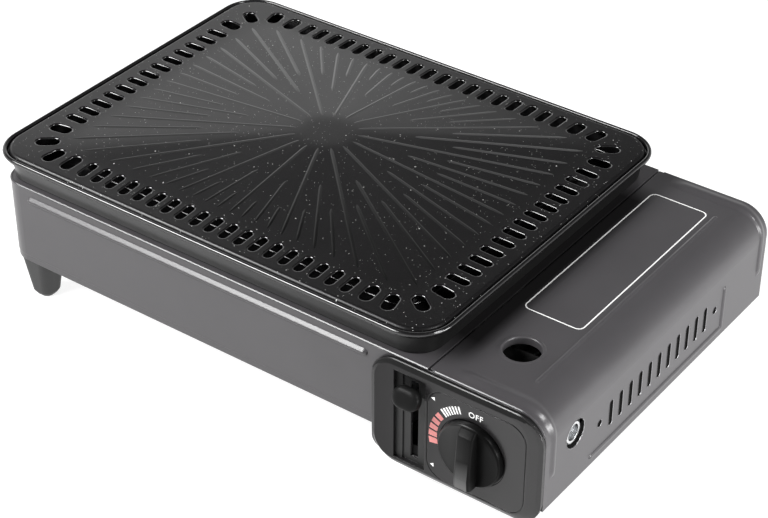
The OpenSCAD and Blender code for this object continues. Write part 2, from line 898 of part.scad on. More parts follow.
module jet() {
    color("#c8a24a") translate([pipe_end, burner_y, burner_z]) rotate([0, -90, 0]) difference() {
        union() {
            cylinder(r = pipe_d, h = jet_l / 2, $fn = 6);
            cylinder(r1 = jet_r, r2 = jet_tip_r, h = jet_l);
        }
        translate([0, 0, jet_l / 3]) cylinder(r = jet_hole_r, h = jet_l, $fn = 16);
    }
}

// The hairpin's two legs and its bend, as a rod of radius r that ends at x0 and x2
module hairpin(r, x0, x2) {
    rod_x(burner_x1, x0, burner_y, burner_z, r);
    rod_x(burner_x1, x2, burner_y + burner_gap, burner_z, r);
    translate([burner_x1, plate_cy, burner_z]) rotate([0, 0, 90]) rotate_extrude(angle = 180)
        translate([burner_gap / 2, 0]) circle(r);
}

// Hairpin burner tube with a mixing mouth and two rows of flame ports
module burner() {
    port_step = (burner_x2 - burner_x1 - port_short) / port_n;
    color("#8f9194") difference() {
        union() {
            hairpin(burner_r, burner_x0, burner_x2);
            translate([burner_x0, burner_y, burner_z]) rotate([0, -90, 0])
                cylinder(r1 = burner_r + mouth_out, r2 = burner_r, h = mouth_l);
        }
        hairpin(burner_r - burner_wall, burner_x0 + 1, burner_x2 - burner_wall);
        for (y = [burner_y, burner_y + burner_gap], k = [0 : port_n - 1])
            rod_z(burner_z + burner_r / 2, burner_z + burner_r + 1,
                  burner_x1 + port_margin + k * port_step, y, port_r, $fn = 16);
    }
}

// Plate on edge that carries both legs of the burner
module saddle(x) {
    y0 = burner_y - burner_d;
    y1 = burner_y + burner_gap + burner_d;
    h = burner_z - base_top;
    color("#a9abad") {
        along_x(x, x + saddle_t) difference() {
            translate([y0, base_top]) square([y1 - y0, h]);
            for (y = [burner_y, burner_y + burner_gap]) translate([y, burner_z]) circle(burner_r + fit);
            translate([plate_cy, burner_z]) square([burner_gap - 2.6 * burner_d, 0.75 * h], center = true);
        }
        block([x - saddle_foot, y0, base_top], [x + saddle_t, y1, base_top + bracket_t]);
    }
}

module electrode() {
    x0 = saddle_xs[1] + saddle_t;
    foot = lead_base_z + 2;
    tip = burner_z + burner_r + spark_gap;
    color("#e8e4da") {
        rod_z(foot, burner_z - 2, electrode_x, electrode_y, electrode_r);
        block([x0, electrode_y - 3, foot + 3], [x0 + bracket_t, electrode_y + 3, foot + 10]);
        rod([electrode_x, electrode_y, burner_z - 3], [electrode_x, electrode_y - 2, tip], spark_r);
        rod([electrode_x, electrode_y - 2, tip], [electrode_x, burner_y + 3, tip + 2], spark_r);
        rod_z(lead_base_z + lead_r + slide_gap, foot, electrode_x, electrode_y, lead_r);
    }
}

function unit(v) = v / norm(v);

// Direction of a route at its point i, halfway between its two stretches there
function heading(route, i) =
    let (m = len(route) - 1,
         ahead = i < m ? unit(route[i + 1] - route[i]) : [0, 0, 0],
         behind = i > 0 ? unit(route[i] - route[i - 1]) : [0, 0, 0])
    unit(ahead + behind);

// A round tube swept along a route that never runs straight up
module swept(route, r, sides) {
    m = len(route);
    points = [for (i = [0 : m - 1])
        let (t = heading(route, i), u = unit(cross(t, [0, 0, 1])), v = cross(u, t))
        for (k = [0 : sides - 1]) let (a = 360 * k / sides) route[i] + r * (cos(a) * u + sin(a) * v)];
    walls = [for (i = [0 : m - 2], k = [0 : sides - 1]) let (n = (k + 1) % sides)
        each [[i * sides + k, i * sides + n, (i + 1) * sides + k],
              [i * sides + n, (i + 1) * sides + n, (i + 1) * sides + k]]];
    first = [for (k = [sides - 1 : -1 : 0]) k];
    last = [for (k = [0 : sides - 1]) (m - 1) * sides + k];
    polyhedron(points, concat(walls, [first], [last]));
}

module ignition_lead() {
    color("#d8d8d8") swept(lead_route, lead_r, 8);
}

module piezo_igniter() {
    color("#e8e4da") {
        rod_x(piezo_left, piezo_right, piezo_y, piezo_z, piezo_r);
        block([piezo_left + 4, piezo_y - piezo_r, knob_z + valve_h / 2],
              [piezo_right - 4, piezo_y + piezo_r, piezo_z]);
    }
}

// Hose connection behind the round hole in the lid's side
module gas_inlet() {
    x0 = inlet_x1 - inlet_l;
    color("#d5d7da") difference() {
        union() {
            translate([x0, inlet_y, inlet_z]) rotate([0, 90, 0])
                cylinder(r = inlet_af / sqrt(3), h = inlet_l - 1.2, $fn = 6);
            rod_x(x0, inlet_x1, inlet_y, inlet_z, inlet_af / 2 - 1);
        }
        rod_x(inlet_x1 - inlet_bore_l, inlet_x1 + 1, inlet_y, inlet_z, inlet_bore_d / 2);
        rod_x(x0 + 2, inlet_x1 + 1, inlet_y, inlet_z, inlet_way_r);
    }
}

module inlet_pipe() {
    color("#b87a4b") rod_x(knob_x + valve_w / 2, inlet_x1 - inlet_l, inlet_y, inlet_z, inlet_pipe_r);
}

// Lid

// The lid's outline from the front, drawn in by inset
module lid_profile(inset) {
    x1 = bay_w - inset;
    z1 = deck_h - inset;
    r = lid_r - inset;
    translate([lid_left, lid_foot]) square([x1 - r - lid_left, z1 - lid_foot]);
    translate([lid_left, lid_foot]) square([x1 - lid_left, z1 - r - lid_foot]);
    translate([x1 - r, z1 - r]) circle(r);
}

// A half-round bead over the lid's shoulder
module lid_bead(y) {
    c = bead_r - bead_out;
    translate([0, y, 0]) {
        rod_x(lid_bead_x, bay_w - lid_r, 0, deck_h - c, bead_r);
        translate([lid_bead_x, 0, deck_h - c]) sphere(bead_r);
        translate([bay_w - lid_r, 0, deck_h - lid_r]) rotate([90, 0, 0]) rotate_extrude(angle = 90)
            translate([lid_r - c, 0]) circle(bead_r);
        rod_z(lid_bead_foot, deck_h - lid_r, bay_w - c, 0, bead_r);
        translate([bay_w - c, 0, lid_bead_foot]) sphere(bead_r);
    }
}

// The long low bead where the lid's top turns into its shoulder
module lid_line() {
    z = deck_h - bead_r + lid_line_out;
    rod_y(lid_line_y, body_d - lid_line_y, lid_line_x, z, bead_r);
    for (y = [lid_line_y, body_d - lid_line_y]) translate([lid_line_x, y, z]) sphere(bead_r);
}

// The angled bead below and behind the vents
module side_bead() {
    y0 = side_bead_y0;
    y1 = side_bead_y1;
    z0 = side_bead_z0;
    z1 = side_bead_z1;
    translate([bay_w - bead_r + bead_out, 0, 0]) {
        rod_y(y0, y1, 0, z0, bead_r);
        rod_z(z0, z1, 0, y1, bead_r);
        for (p = [[y0, z0], [y1, z0], [y1, z1]]) translate([0, p[0], p[1]]) sphere(bead_r);
    }
}

module hinge_ear() {
    translate([hinge_x, hinge_z]) circle(ear_r);
    translate([lid_left, hinge_z]) square([hinge_x + ear_r - lid_left, deck_h - sheet / 2 - hinge_z]);
}

module lid_shell() {
    y0 = lid_gap;
    y1 = body_d - lid_gap;
    color("#6e6e71") difference() {
        union() {
            difference() {
                union() {
                    along_y(y0, y1) lid_profile(0);
                    lid_bead(lid_bead_y);
                    lid_bead(body_d - lid_bead_y);
                    lid_line();
                    side_bead();
                }
                along_y(-1, body_d + 1) lid_profile(sheet);
                block([-5, -1, lid_foot - 1], [lid_left + 1, body_d + 1, deck_h - sheet]);
                block([-5, -1, lid_foot - 1], [bay_w - sheet, body_d + 1, lid_foot + eps]);
            }
            along_z(z_under - finger_lip, deck_h) translate([finger_x, finger_y])
                circle(finger_d / 2 + sheet);
            along_y(ear_y, ear_y + ear_t) hinge_ear();
            along_y(body_d - ear_y - ear_t, body_d - ear_y) hinge_ear();
        }
        rod_z(z_under - finger_lip - 1, deck_h + 1, finger_x, finger_y, finger_d / 2);
        rod_y(-1, body_d + 1, hinge_x, hinge_z, hinge_d / 2 + fit);
        for (y = [-1, body_d - sheet - lid_gap])
            block([-1, y, hinge_z], [hinge_x + hinge_notch, y + 1 + sheet + lid_gap, deck_h + 1]);
        for (k = [0 : vent_n - 1]) along_x(bay_w - 5, bay_w + 5)
            translate([vent_y + (k - (vent_n - 1) / 2) * vent_pitch, vent_z])
                rotate([0, 0, 90]) stadium(vent_l, vent_w);
        for (s = [-1, 1])
            rod_x(bay_w - 5, bay_w + 5, vent_y + s * vent_end, vent_z, vent_hole_d / 2);
        rod_x(bay_w - 5, bay_w + 5, inlet_y, inlet_z, inlet_hole_d / 2);
    }
}

module hinge_pin(y) {
    color("#b9bbbe") rod_y(y, y + hinge_pin_l, hinge_x, hinge_z, hinge_d / 2);
}

// Feet and screws

// A tapered leg under a left corner
module left_foot(p) {
    l = foot_l * foot_taper;
    d = foot_d * foot_taper;
    color("#57575a") difference() {
        hull() {
            along_z(z_hem - 2, z_hem) translate(p) rounded(foot_l, foot_d, foot_r, $fn = 32);
            along_z(3, 5) translate(p) rounded(l, d, foot_r, $fn = 32);
            along_z(0, 1) translate(p)
                rounded(l - foot_edge, d - foot_edge, foot_r - foot_edge / 2, $fn = 32);
        }
        rod_z(z_hem - foot_screw_l - 2, z_hem + 1, p[0], p[1], screw_r);
    }
}

// A rubber foot with a push-in stem
module right_foot(y) {
    color("#2a2a2b") translate([pad_x, y, 0]) {
        cylinder(r1 = pad_d / 2 - 1.5, r2 = pad_d / 2, h = floor_h);
        cylinder(r = stem_r, h = floor_top + slide_gap);
        translate([0, 0, floor_top]) cylinder(r1 = stem_r * 1.4, r2 = stem_r * 0.8, h = 2);
    }
}

module base_screws() {
    color("#c4c6c8") for (p = base_screw_at)
        translate([p[0], p[1], z_hem]) rotate([180, 0, 0]) screw(2 * sheet + 1);
}

module panel_screws() {
    color("#c4c6c8") for (p = panel_screw_at)
        translate([p[0], sheet, p[1]]) rotate([-90, 0, 0]) screw(sheet + panel_screw_in);
}

module foot_screws() {
    color("#c4c6c8") for (p = foot_screw_at)
        translate([p[0], p[1], base_top]) screw(2 * sheet + foot_screw_l);
}

// Drip tray

// The tray's wall, wider at its top
module tray_wall(inset) {
    hull() {
        along_z(ledge_z - tray_t - eps, ledge_z) rim_outline(wall_in_top + inset, $fn = 32);
        along_z(deck_h + (inset > 0 ? tray_t : 0), deck_h + tray_t + eps)
            rim_outline(wall_in_foot + inset, $fn = 32);
    }
}

// The rolled edge that runs round the rim
module rim_roll() {
    l = plate_l / 2 - rim_r;
    d = plate_d / 2 - rim_r;
    c = rim_r - roll_r;
    translate([plate_cx, plate_cy, rim_z - roll_r]) {
        for (s = [-1, 1]) {
            rod_x(-l, l, s * (d + c), 0, roll_r);
            rod_y(-d, d, s * (l + c), 0, roll_r);
        }
        for (k = [0 : 3])
            translate([(k == 0 || k == 3) ? l : -l, k < 2 ? d : -d, 0]) rotate([0, 0, 90 * k])
                rotate_extrude(angle = 90) translate([c, 0]) circle(roll_r);
    }
}

module drip_tray() {
    color("#232325") {
        difference() {
            tray_wall(0);
            tray_wall(tray_t);
            along_z(deck_h - 1, ledge_z) translate([plate_cx, plate_cy])
                rounded(open_l, open_d, open_r);
        }
        along_z(deck_h - weir_drop, deck_h + weir_h) translate([plate_cx, plate_cy]) difference() {
            rounded(open_l + 2 * tray_t, open_d + 2 * tray_t, open_r + tray_t);
            rounded(open_l, open_d, open_r);
        }
        along_z(ledge_z - tray_t, ledge_z) difference() {
            rim_outline(roll_r);
            rim_outline(wall_in_top + tray_t);
        }
        along_z(ledge_z - tray_t, rim_z - roll_r) difference() {
            rim_outline(roll_r);
            rim_outline(ledge_in);
        }
        rim_roll();
    }
}

// Grill plate

// Distance from the plate's middle to its edge in the direction a
function edge_at(a) =
    let (c = abs(cos(a)), s = abs(sin(a)), kx = edge_hl - edge_r, ky = edge_hd - edge_r,
         tx = edge_hl / max(c, eps / 100), ty = edge_hd / max(s, eps / 100), b = c * kx + s * ky)
    tx * s <= ky ? tx : ty * c <= kx ? ty : b + sqrt(b * b - kx * kx - ky * ky + edge_r * edge_r);

// Height of the plate's top at a share k of the way from the disc to the edge: a cone with a flat border
function dome_z(k) = edge_z + (k < dome_knee
    ? knee_h + (dome_h - knee_h) * (1 - k / dome_knee)
    : knee_h * (1 - k) / (1 - dome_knee));

function at_share(a, k) = disc_r + (edge_at(a) - disc_r) * k;

// Directions of the loft's lines: along the ribs, and closer together round a corner
corner_a0 = atan2(edge_hd - edge_r, edge_hl);
corner_a1 = atan2(edge_hd, edge_hl - edge_r);
quarter = concat(
    [for (a = [rib_step : rib_step : corner_a0 - 1]) a],
    [for (k = [0 : 4]) corner_a0 + (corner_a1 - corner_a0) * k / 4],
    [for (a = [rib_step * ceil((corner_a1 + 1) / rib_step) : rib_step : 90 - rib_step / 2]) a]);
quarter_n = len(quarter);
back = [for (k = [quarter_n - 1 : -1 : 0]) quarter[k]];
dome_a = concat([0], quarter, [90], [for (a = back) 180 - a], [180], [for (a = quarter) 180 + a],
    [270], [for (a = back) 360 - a]);
dome_n = len(dome_a);

// A ring of points round the plate, at share k, lowered by drop and drawn in by inset
function plate_ring(k, drop, inset) = [for (a = dome_a)
    [(at_share(a, k) - inset) * cos(a), (at_share(a, k) - inset) * sin(a), dome_z(k) - drop]];

function lowered(ring, z) = [for (p = ring) [p[0], p[1], z]];

// The pressed sheet: a closed loft of rings over the top, round the skirt and back underneath
module plate_sheet() {
    turn = edge_round * (1 - cos(45));
    rings = [
        plate_ring(0, 0, 0), plate_ring(dome_knee, 0, 0),
        plate_ring(1, 0, edge_round), plate_ring(1, turn, turn), plate_ring(1, edge_round, 0),
        lowered(plate_ring(1, 0, 0), ledge_z), lowered(plate_ring(1, 0, plate_t), ledge_z),
        plate_ring(1, edge_round, plate_t), plate_ring(1, plate_t, edge_round),
        plate_ring(dome_knee, plate_t, 0), plate_ring(0, plate_t, 0)
    ];
    m = len(rings);
    points = [for (ring = rings, p = ring) p];
    sides = [for (i = [0 : m - 2], j = [0 : dome_n - 1]) let (k = (j + 1) % dome_n)
        each [[i * dome_n + j, i * dome_n + k, (i + 1) * dome_n + j],
              [i * dome_n + k, (i + 1) * dome_n + k, (i + 1) * dome_n + j]]];
    top = [for (j = [dome_n - 1 : -1 : 0]) j];
    under = [for (j = [0 : dome_n - 1]) (m - 1) * dome_n + j];
    polyhedron(points, concat(sides, [top], [under]));
}

// Distance from the middle to the ribs' outer frame in the direction a
function rib_end(a) = min(rib_end_x / max(abs(cos(a)), eps), rib_end_y / max(abs(sin(a)), eps));

// A rib in the direction a from the radius r0 outwards, with its foot inside the sheet
module rib(a, r0) {
    sink = plate_t / 2;
    half = rib_w / 2 * (rib_h + sink) / rib_h;
    section = [for (r = [r0, rib_end(a)]) let (z = dome_z((r - disc_r) / (edge_at(a) - disc_r)))
        each [[r, -half, z - sink], [r, half, z - sink], [r, 0, z + rib_h]]];
    rotate([0, 0, a]) hull()
        polyhedron(section, [[0, 1, 2], [3, 5, 4], [0, 3, 4, 1], [1, 4, 5, 2], [2, 5, 3, 0]]);
}

// A wide drain slot that is turned to fan out round a corner
module fan_slot(x, y, turn) {
    translate([x, y]) rotate([0, 0, turn]) stadium(slot_l, fan_w);
}

// Drain slots: a row along each side, two splayed ones at its ends and one across each corner
module drain_slots() {
    end_x = (slot_nx - 1) / 2 * slot_px;
    end_y = (slot_ny - 1) / 2 * slot_py;
    for (s = [-1, 1]) {
        for (k = [0 : slot_nx - 1]) translate([-end_x + k * slot_px, s * slot_cy])
            rotate([0, 0, 90]) stadium(slot_l, slot_w);
        for (k = [0 : slot_ny - 1]) translate([s * slot_cx, -end_y + k * slot_py]) stadium(slot_l, slot_w);
        for (t = [-1, 1]) {
            fan_slot(t * (end_x + fan_step), s * slot_cy, 90 - 3 * s * t);
            fan_slot(t * (end_x + 2 * fan_step + 1), s * slot_cy, 90 - 12 * s * t);
            fan_slot(s * slot_cx, t * (end_y + fan_step + 1), 7 * s * t);
            fan_slot(s * (slot_cx - 4.5), t * (slot_cy - 10.5), 35 * s * t);
        }
    }
}

module grill_plate() {
    color("#1d1d1f") translate([plate_cx, plate_cy, 0]) difference() {
        union() {
            plate_sheet();
            for (k = [0 : 4 * rib_n - 1]) rib(k * 90 / rib_n, rib_starts[k % 4]);
        }
        along_z(ledge_z + eps, rim_z + dome_h) drain_slots($fn = 8);
    }
}

placed() body_shell();
placed() base_plate();
placed() partition();
placed() bay_floor();
placed() cartridge_bracket();
placed() cradle(cradle_front);  // front_cradle
placed() cradle(cradle_rear);  // rear_cradle
placed() slide_guide(guide_front);  // front_slide_guide
placed() slide_guide(cradle_rear);  // rear_slide_guide
placed() control_panel();
placed() valve_body();
placed() regulator();
placed() cartridge_nozzle();
placed() gas_pipe();
placed() jet();
placed() burner();
placed() saddle(saddle_xs[0]);  // left_saddle
placed() saddle(saddle_xs[1]);  // right_saddle
placed() electrode();
placed() ignition_lead();
placed() piezo_igniter();
placed() gas_inlet();
placed() inlet_pipe();
placed() lever_bracket();
placed() lever_pivot();
placed() hinge_pin(sheet);  // front_hinge_pin
placed() hinge_pin(body_d - sheet - hinge_pin_l);  // rear_hinge_pin
placed() left_foot(foot_screw_at[0]);  // front_left_foot
placed() left_foot(foot_screw_at[1]);  // rear_left_foot
placed() right_foot(pad_in);  // front_right_foot
placed() right_foot(body_d - pad_in);  // rear_right_foot
placed() base_screws();
placed() panel_screws();
placed() foot_screws();
placed() lid_shell();
placed() knob();
placed() spindle();
placed() lever_arm();
placed() lever_cap();
placed() crank_pin();
placed() cartridge_slide();
placed() drip_tray();
placed() grill_plate();
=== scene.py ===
"""Looks of a portable gas grill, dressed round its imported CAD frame. Blender units are metres.

Positions on the grill are given as at(x, y, z) in millimetres: x from the lid seam, y from the front
wall and z from the deck, which is how the grill itself is laid out.
"""

import json
import math

import bpy
from mathutils import Matrix, Vector
from mathutils.geometry import delaunay_2d_cdt


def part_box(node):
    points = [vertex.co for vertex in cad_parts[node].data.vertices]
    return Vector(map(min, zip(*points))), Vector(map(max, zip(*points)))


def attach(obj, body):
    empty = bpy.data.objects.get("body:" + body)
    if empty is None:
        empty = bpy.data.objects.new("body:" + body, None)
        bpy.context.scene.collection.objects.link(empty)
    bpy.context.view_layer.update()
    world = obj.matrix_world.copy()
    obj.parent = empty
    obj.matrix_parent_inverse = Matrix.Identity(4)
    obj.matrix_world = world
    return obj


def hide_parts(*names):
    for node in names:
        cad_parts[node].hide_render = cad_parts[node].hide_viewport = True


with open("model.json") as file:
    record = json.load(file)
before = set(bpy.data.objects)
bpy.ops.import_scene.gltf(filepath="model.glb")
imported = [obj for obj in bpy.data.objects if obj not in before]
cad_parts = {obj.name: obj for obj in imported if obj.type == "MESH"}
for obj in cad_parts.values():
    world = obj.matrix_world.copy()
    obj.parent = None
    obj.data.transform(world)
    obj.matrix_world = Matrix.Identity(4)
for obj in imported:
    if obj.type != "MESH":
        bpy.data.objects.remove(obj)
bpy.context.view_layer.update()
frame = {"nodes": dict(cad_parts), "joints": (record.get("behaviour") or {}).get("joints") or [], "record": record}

MM = 0.001
TAU = 2 * math.pi

# Reference lines, read from the frame in metres

BAY_WIDTH = 86
BODY_LOW, BODY_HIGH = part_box("body_shell")
PANEL_LOW, PANEL_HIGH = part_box("control_panel")
KNOB_LOW, KNOB_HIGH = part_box("knob")
KNOB_MIDDLE = (KNOB_LOW + KNOB_HIGH) / 2
RIM_LOW, RIM_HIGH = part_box("drip_tray")
RIM_CENTRE = (RIM_LOW + RIM_HIGH) / 2
SEAM_X = PANEL_HIGH.x - BAY_WIDTH * MM
FRONT_Y = PANEL_HIGH.y
DECK_Z = BODY_HIGH.z

# The same in millimetres from the seam, the front wall and the deck

BODY_LEFT = (BODY_LOW.x - SEAM_X) / MM
BODY_DEPTH = (BODY_HIGH.y - FRONT_Y) / MM
LID_FRONT = (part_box("lid_shell")[0].y - FRONT_Y) / MM
PANEL_LEFT = (PANEL_LOW.x - SEAM_X) / MM
PANEL_Y = (PANEL_LOW.y - FRONT_Y) / MM
PANEL_TOP = (PANEL_HIGH.z - DECK_Z) / MM
KNOB_RADIUS = (KNOB_HIGH.x - KNOB_LOW.x) / 2 / MM
KNOB_FRONT = (KNOB_LOW.y - FRONT_Y) / MM
KNOB_BACK = (KNOB_HIGH.y - FRONT_Y) / MM
RIM_HALF_X = (RIM_HIGH.x - RIM_LOW.x) / 2 / MM
RIM_HALF_Y = (RIM_HIGH.y - RIM_LOW.y) / 2 / MM
RIM_TOP = (RIM_HIGH.z - DECK_Z) / MM

# Sizes of the plate and the tray, in millimetres

RIM_RADIUS = 28
SKIRT_IN = 4.5
ROLL_RADIUS = 1.7
LEDGE_Z = RIM_TOP - 4
EDGE_X = RIM_HALF_X - SKIRT_IN
EDGE_Y = RIM_HALF_Y - SKIRT_IN
EDGE_Z = RIM_TOP + 0.2
EDGE_RADIUS = RIM_RADIUS - SKIRT_IN
EDGE_ROUND = 2.6
BORDER = EDGE_ROUND + 0.4
DISC_RADIUS = 20
DISC_BLEND = 3
DOME_RISE = 12
KNEE_SHARE = 0.8
KNEE_RISE = 0.8
KNEE_BLEND = 0.3
PLATE_THICK = 1.4
PLATE_GRID = 5.5

TRAY_THICK = 1
CHANNEL = 37
WALL_IN_TOP = 5.2
WALL_IN_FOOT = 7.7
WEIR_IN = WALL_IN_FOOT + CHANNEL
WEIR_TOP = 12
WEIR_DROP = 3.5
WEIR_RADIUS = 18

SLOT_IN_X = 23.9
SLOT_IN_Y = 21.8
SLOT_LENGTH = 16.4
SLOT_WIDTH = 6
SLOT_LIP = 1.2
SLOT_REACH = 14
SLOT_PITCH_X = 12.4
SLOT_PITCH_Y = 12.8
SLOTS_X = 19
SLOTS_Y = 13
FAN_WIDTH = 8.6
FAN_STEP = 15.2
FAN_EXTRA = 1
FAN_LEANS = (3, 12, 7, 35)
CORNER_SLOT_IN_X = 4.5
CORNER_SLOT_IN_Y = 10.5

RIB_COUNT = 64
RIB_STARTS = (DISC_RADIUS + 2, 87, 61, 87)
RIB_END_X = 147
RIB_END_Y = 106
RIB_HALF_WIDTH = 1.5
RIB_HEIGHT = 0.42
RIB_SINK = 0.03
RIB_RISE_LENGTH = 5
RIB_FALL_LENGTH = 8
RIB_STEPS = 30

# Sizes of the body, the lid and the panel, in millimetres

DECK_CORNER = 17
BEAD_Z = -8.7
LID_SHOULDER = 20
HUMP_IN = 9
HUMP_HEIGHT = 1.2
HUMP_TOP_WIDTH = 6.5
HUMP_SIDE_WIDTH = 3.6
VENT_COUNT = 11
VENT_PITCH = 12
VENT_LENGTH = 19.6
VENT_WIDTH = 4.2
VENTS_Y = 137.3
VENTS_Z = -43
END_HOLE_OUT = 73.5
END_HOLE = 5
INLET_Y = 34.5
INLET_Z = -31.5
INLET_HOLE = 20.4
FINGER_X = 35.4
FINGER_Y = 50.3
FINGER_RADIUS = 12.5
PANEL_CORNER = 19
FACE_CORNER = 14
DIAL_X = 36
DIAL_Z = -46
INK_LIFT = 0.06


def at(x, y, z):
    """A point in metres from millimetres right of the seam, behind the front wall and above the deck."""
    return Vector((SEAM_X + x * MM, FRONT_Y + y * MM, DECK_Z + z * MM))


def on_plate(x, y, z):
    """A point in metres from millimetres off the plate's middle and above the deck."""
    return Vector((RIM_CENTRE.x + x * MM, RIM_CENTRE.y + y * MM, DECK_Z + z * MM))


def on_knob(x, y, z):
    """A point in metres from millimetres off the knob's axis and behind the front wall."""
    return Vector((KNOB_MIDDLE.x + x * MM, FRONT_Y + y * MM, KNOB_MIDDLE.z + z * MM))


# Material nodes

def new_material(name):
    material = bpy.data.materials.new(name)
    material.use_nodes = True
    return material


def shader_of(material):
    return material.node_tree.nodes["Principled BSDF"]


def set_inputs(node, values):
    for name, value in values.items():
        node.inputs[name].default_value = value


def link(tree, out_node, out_name, in_node, in_name):
    tree.links.new(out_node.outputs[out_name], in_node.inputs[in_name])


def drive(material, input_name, source, output):
    """Lets a node's output set an input of the material's shader."""
    link(material.node_tree, source, output, shader_of(material), input_name)


def position(tree):
    """The point's place on the object, in metres."""
    return tree.nodes.new("ShaderNodeTexCoord")


def noise(tree, source, output, scale, detail, roughness):
    node = tree.nodes.new("ShaderNodeTexNoise")
    set_inputs(node, {"Scale": scale, "Detail": detail, "Roughness": roughness})
    link(tree, source, output, node, "Vector")
    return node


def grey(value):
    return (value, value, value)


def greys(*stops):
    return [(place, grey(value)) for place, value in stops]


def tinted(colour, factor):
    return tuple(c * factor for c in colour)


def ramp(tree, source, output, stops):
    """A colour ramp over the source's value, from (place, colour) stops."""
    node = tree.nodes.new("ShaderNodeValToRGB")
    link(tree, source, output, node, "Fac")
    elements = node.color_ramp.elements
    while len(elements) < len(stops):
        elements.new(0.5)
    for element, (place, colour) in zip(elements, stops):
        element.position = place
        element.color = (*colour, 1)
    return node


def mix(tree, mask, ground, colour):
    """The ground's colour, which gives way to another one where the mask is 1."""
    node = tree.nodes.new("ShaderNodeMixRGB")
    link(tree, mask, "Value", node, "Fac")
    link(tree, ground, "Color", node, "Color1")
    node.inputs["Color2"].default_value = (*colour, 1)
    return node


def arithmetic(tree, operation, first, first_output, second, second_output):
    node = tree.nodes.new("ShaderNodeMath")
    node.operation = operation
    tree.links.new(first.outputs[first_output], node.inputs[0])
    tree.links.new(second.outputs[second_output], node.inputs[1])
    return node


def map_range(tree, source, output, low, high):
    """Maps the source's value from 0..1 to low..high."""
    node = tree.nodes.new("ShaderNodeMapRange")
    set_inputs(node, {"To Min": low, "To Max": high})
    link(tree, source, output, node, "Value")
    return node


def along_axis(tree, axis, low, high, first, last):
    """Passes from first to last between two places on an axis, in metres."""
    split = tree.nodes.new("ShaderNodeSeparateXYZ")
    link(tree, position(tree), "Object", split, "Vector")
    node = map_range(tree, split, axis, first, last)
    set_inputs(node, {"From Min": low, "From Max": high})
    return node


def uneven_gloss(material, source, rough):
    """Roughness that follows a noise from one value to another."""
    drive(material, "Roughness", map_range(material.node_tree, source, "Fac", *rough), "Result")


def graded_gloss(material, axis, low, high, first, last):
    """Strength of the reflections, which passes from first to last between two places on an axis."""
    level = along_axis(material.node_tree, axis, low, high, first, last)
    drive(material, "Specular IOR Level", level, "Result")


def bump(material, source, strength, depth, edge=0.0):
    """A fine relief from a noise; edge rounds the shading of sharp edges over that radius in metres."""
    tree = material.node_tree
    node = tree.nodes.new("ShaderNodeBump")
    set_inputs(node, {"Strength": strength, "Distance": depth})
    link(tree, source, "Fac", node, "Height")
    if edge:
        soft = tree.nodes.new("ShaderNodeBevel")
        soft.samples = 8
        soft.inputs["Radius"].default_value = edge
        link(tree, soft, "Normal", node, "Normal")
    drive(material, "Normal", node, "Normal")


# Finishes

def mottled(name, colours, scale, rough, grain, grain_strength, metallic=0.0, edge=0.0, specular=0.5):
    """A finish with uneven gloss and a fine grain, cloudy between two colours where these are given."""
    material = new_material(name)
    tree = material.node_tree
    coords = position(tree)
    clouds = noise(tree, coords, "Object", scale, 5.0, 0.6)
    if colours:
        dark, light = colours
        drive(material, "Base Color", ramp(tree, clouds, "Fac", [(0.3, dark), (0.7, light)]), "Color")
    uneven_gloss(material, clouds, rough)
    bump(material, noise(tree, coords, "Object", grain, 2.0, 0.5), grain_strength, 0.0002, edge)
    set_inputs(shader_of(material), {"Metallic": metallic, "Specular IOR Level": specular})
    return material


def body_paint():
    """Satin grey coat with a fine orange peel."""
    base = (0.0505, 0.0482, 0.0512)
    return mottled("grey_coat", (tinted(base, 0.93), tinted(base, 1.07)), 17, (0.25, 0.33), 700, 0.05,
                   edge=0.0005)


def rim_shaded_paint(low, high, first, last):
    """The grey coat with painted shade and a painted dark reflection beside the tray's right wall, darker and less
    reflective there: from first to last between two places on X.
    """
    material = body_paint()
    tree = material.node_tree
    beside = along_axis(tree, "X", low, high, first, last)
    front = along_axis(tree, "Y", FRONT_Y + 15 * MM, FRONT_Y + 42 * MM, 0, 1)
    rear = along_axis(tree, "Y", FRONT_Y + 236 * MM, FRONT_Y + 258 * MM, 1, 0)
    between = arithmetic(tree, "MULTIPLY", front, "Result", rear, "Result")
    # Painted shade: a near-black coat with weak reflections beside the tray, fading out towards the front and the
    # back.
    shade_mask = arithmetic(tree, "MULTIPLY", beside, "Result", between, "Value")
    coat = shader_of(material).inputs["Base Color"].links[0].from_node
    drive(material, "Base Color", mix(tree, shade_mask, coat, (0.010, 0.0096, 0.010)), "Color")
    drive(material, "Specular IOR Level", map_range(tree, shade_mask, "Value", 0.5, 0.08), "Result")
    return material


def specks(tree, coords, dimensions, scale, radius, share):
    """White dots: 1 inside a dot of the given radius (in cells), for a share of the cells."""
    cells = tree.nodes.new("ShaderNodeTexVoronoi")
    cells.voronoi_dimensions = dimensions
    cells.inputs["Scale"].default_value = scale
    link(tree, coords, "Object", cells, "Vector")
    dot = ramp(tree, cells, "Distance", greys((radius * 0.6, 1), (radius, 0)))
    choice = tree.nodes.new("ShaderNodeSeparateColor")
    link(tree, cells, "Color", choice, "Color")
    chosen = ramp(tree, choice, "Red", greys((1 - share, 0), (1 - share * 0.4, 1)))
    return arithmetic(tree, "MULTIPLY", dot, "Color", chosen, "Color")


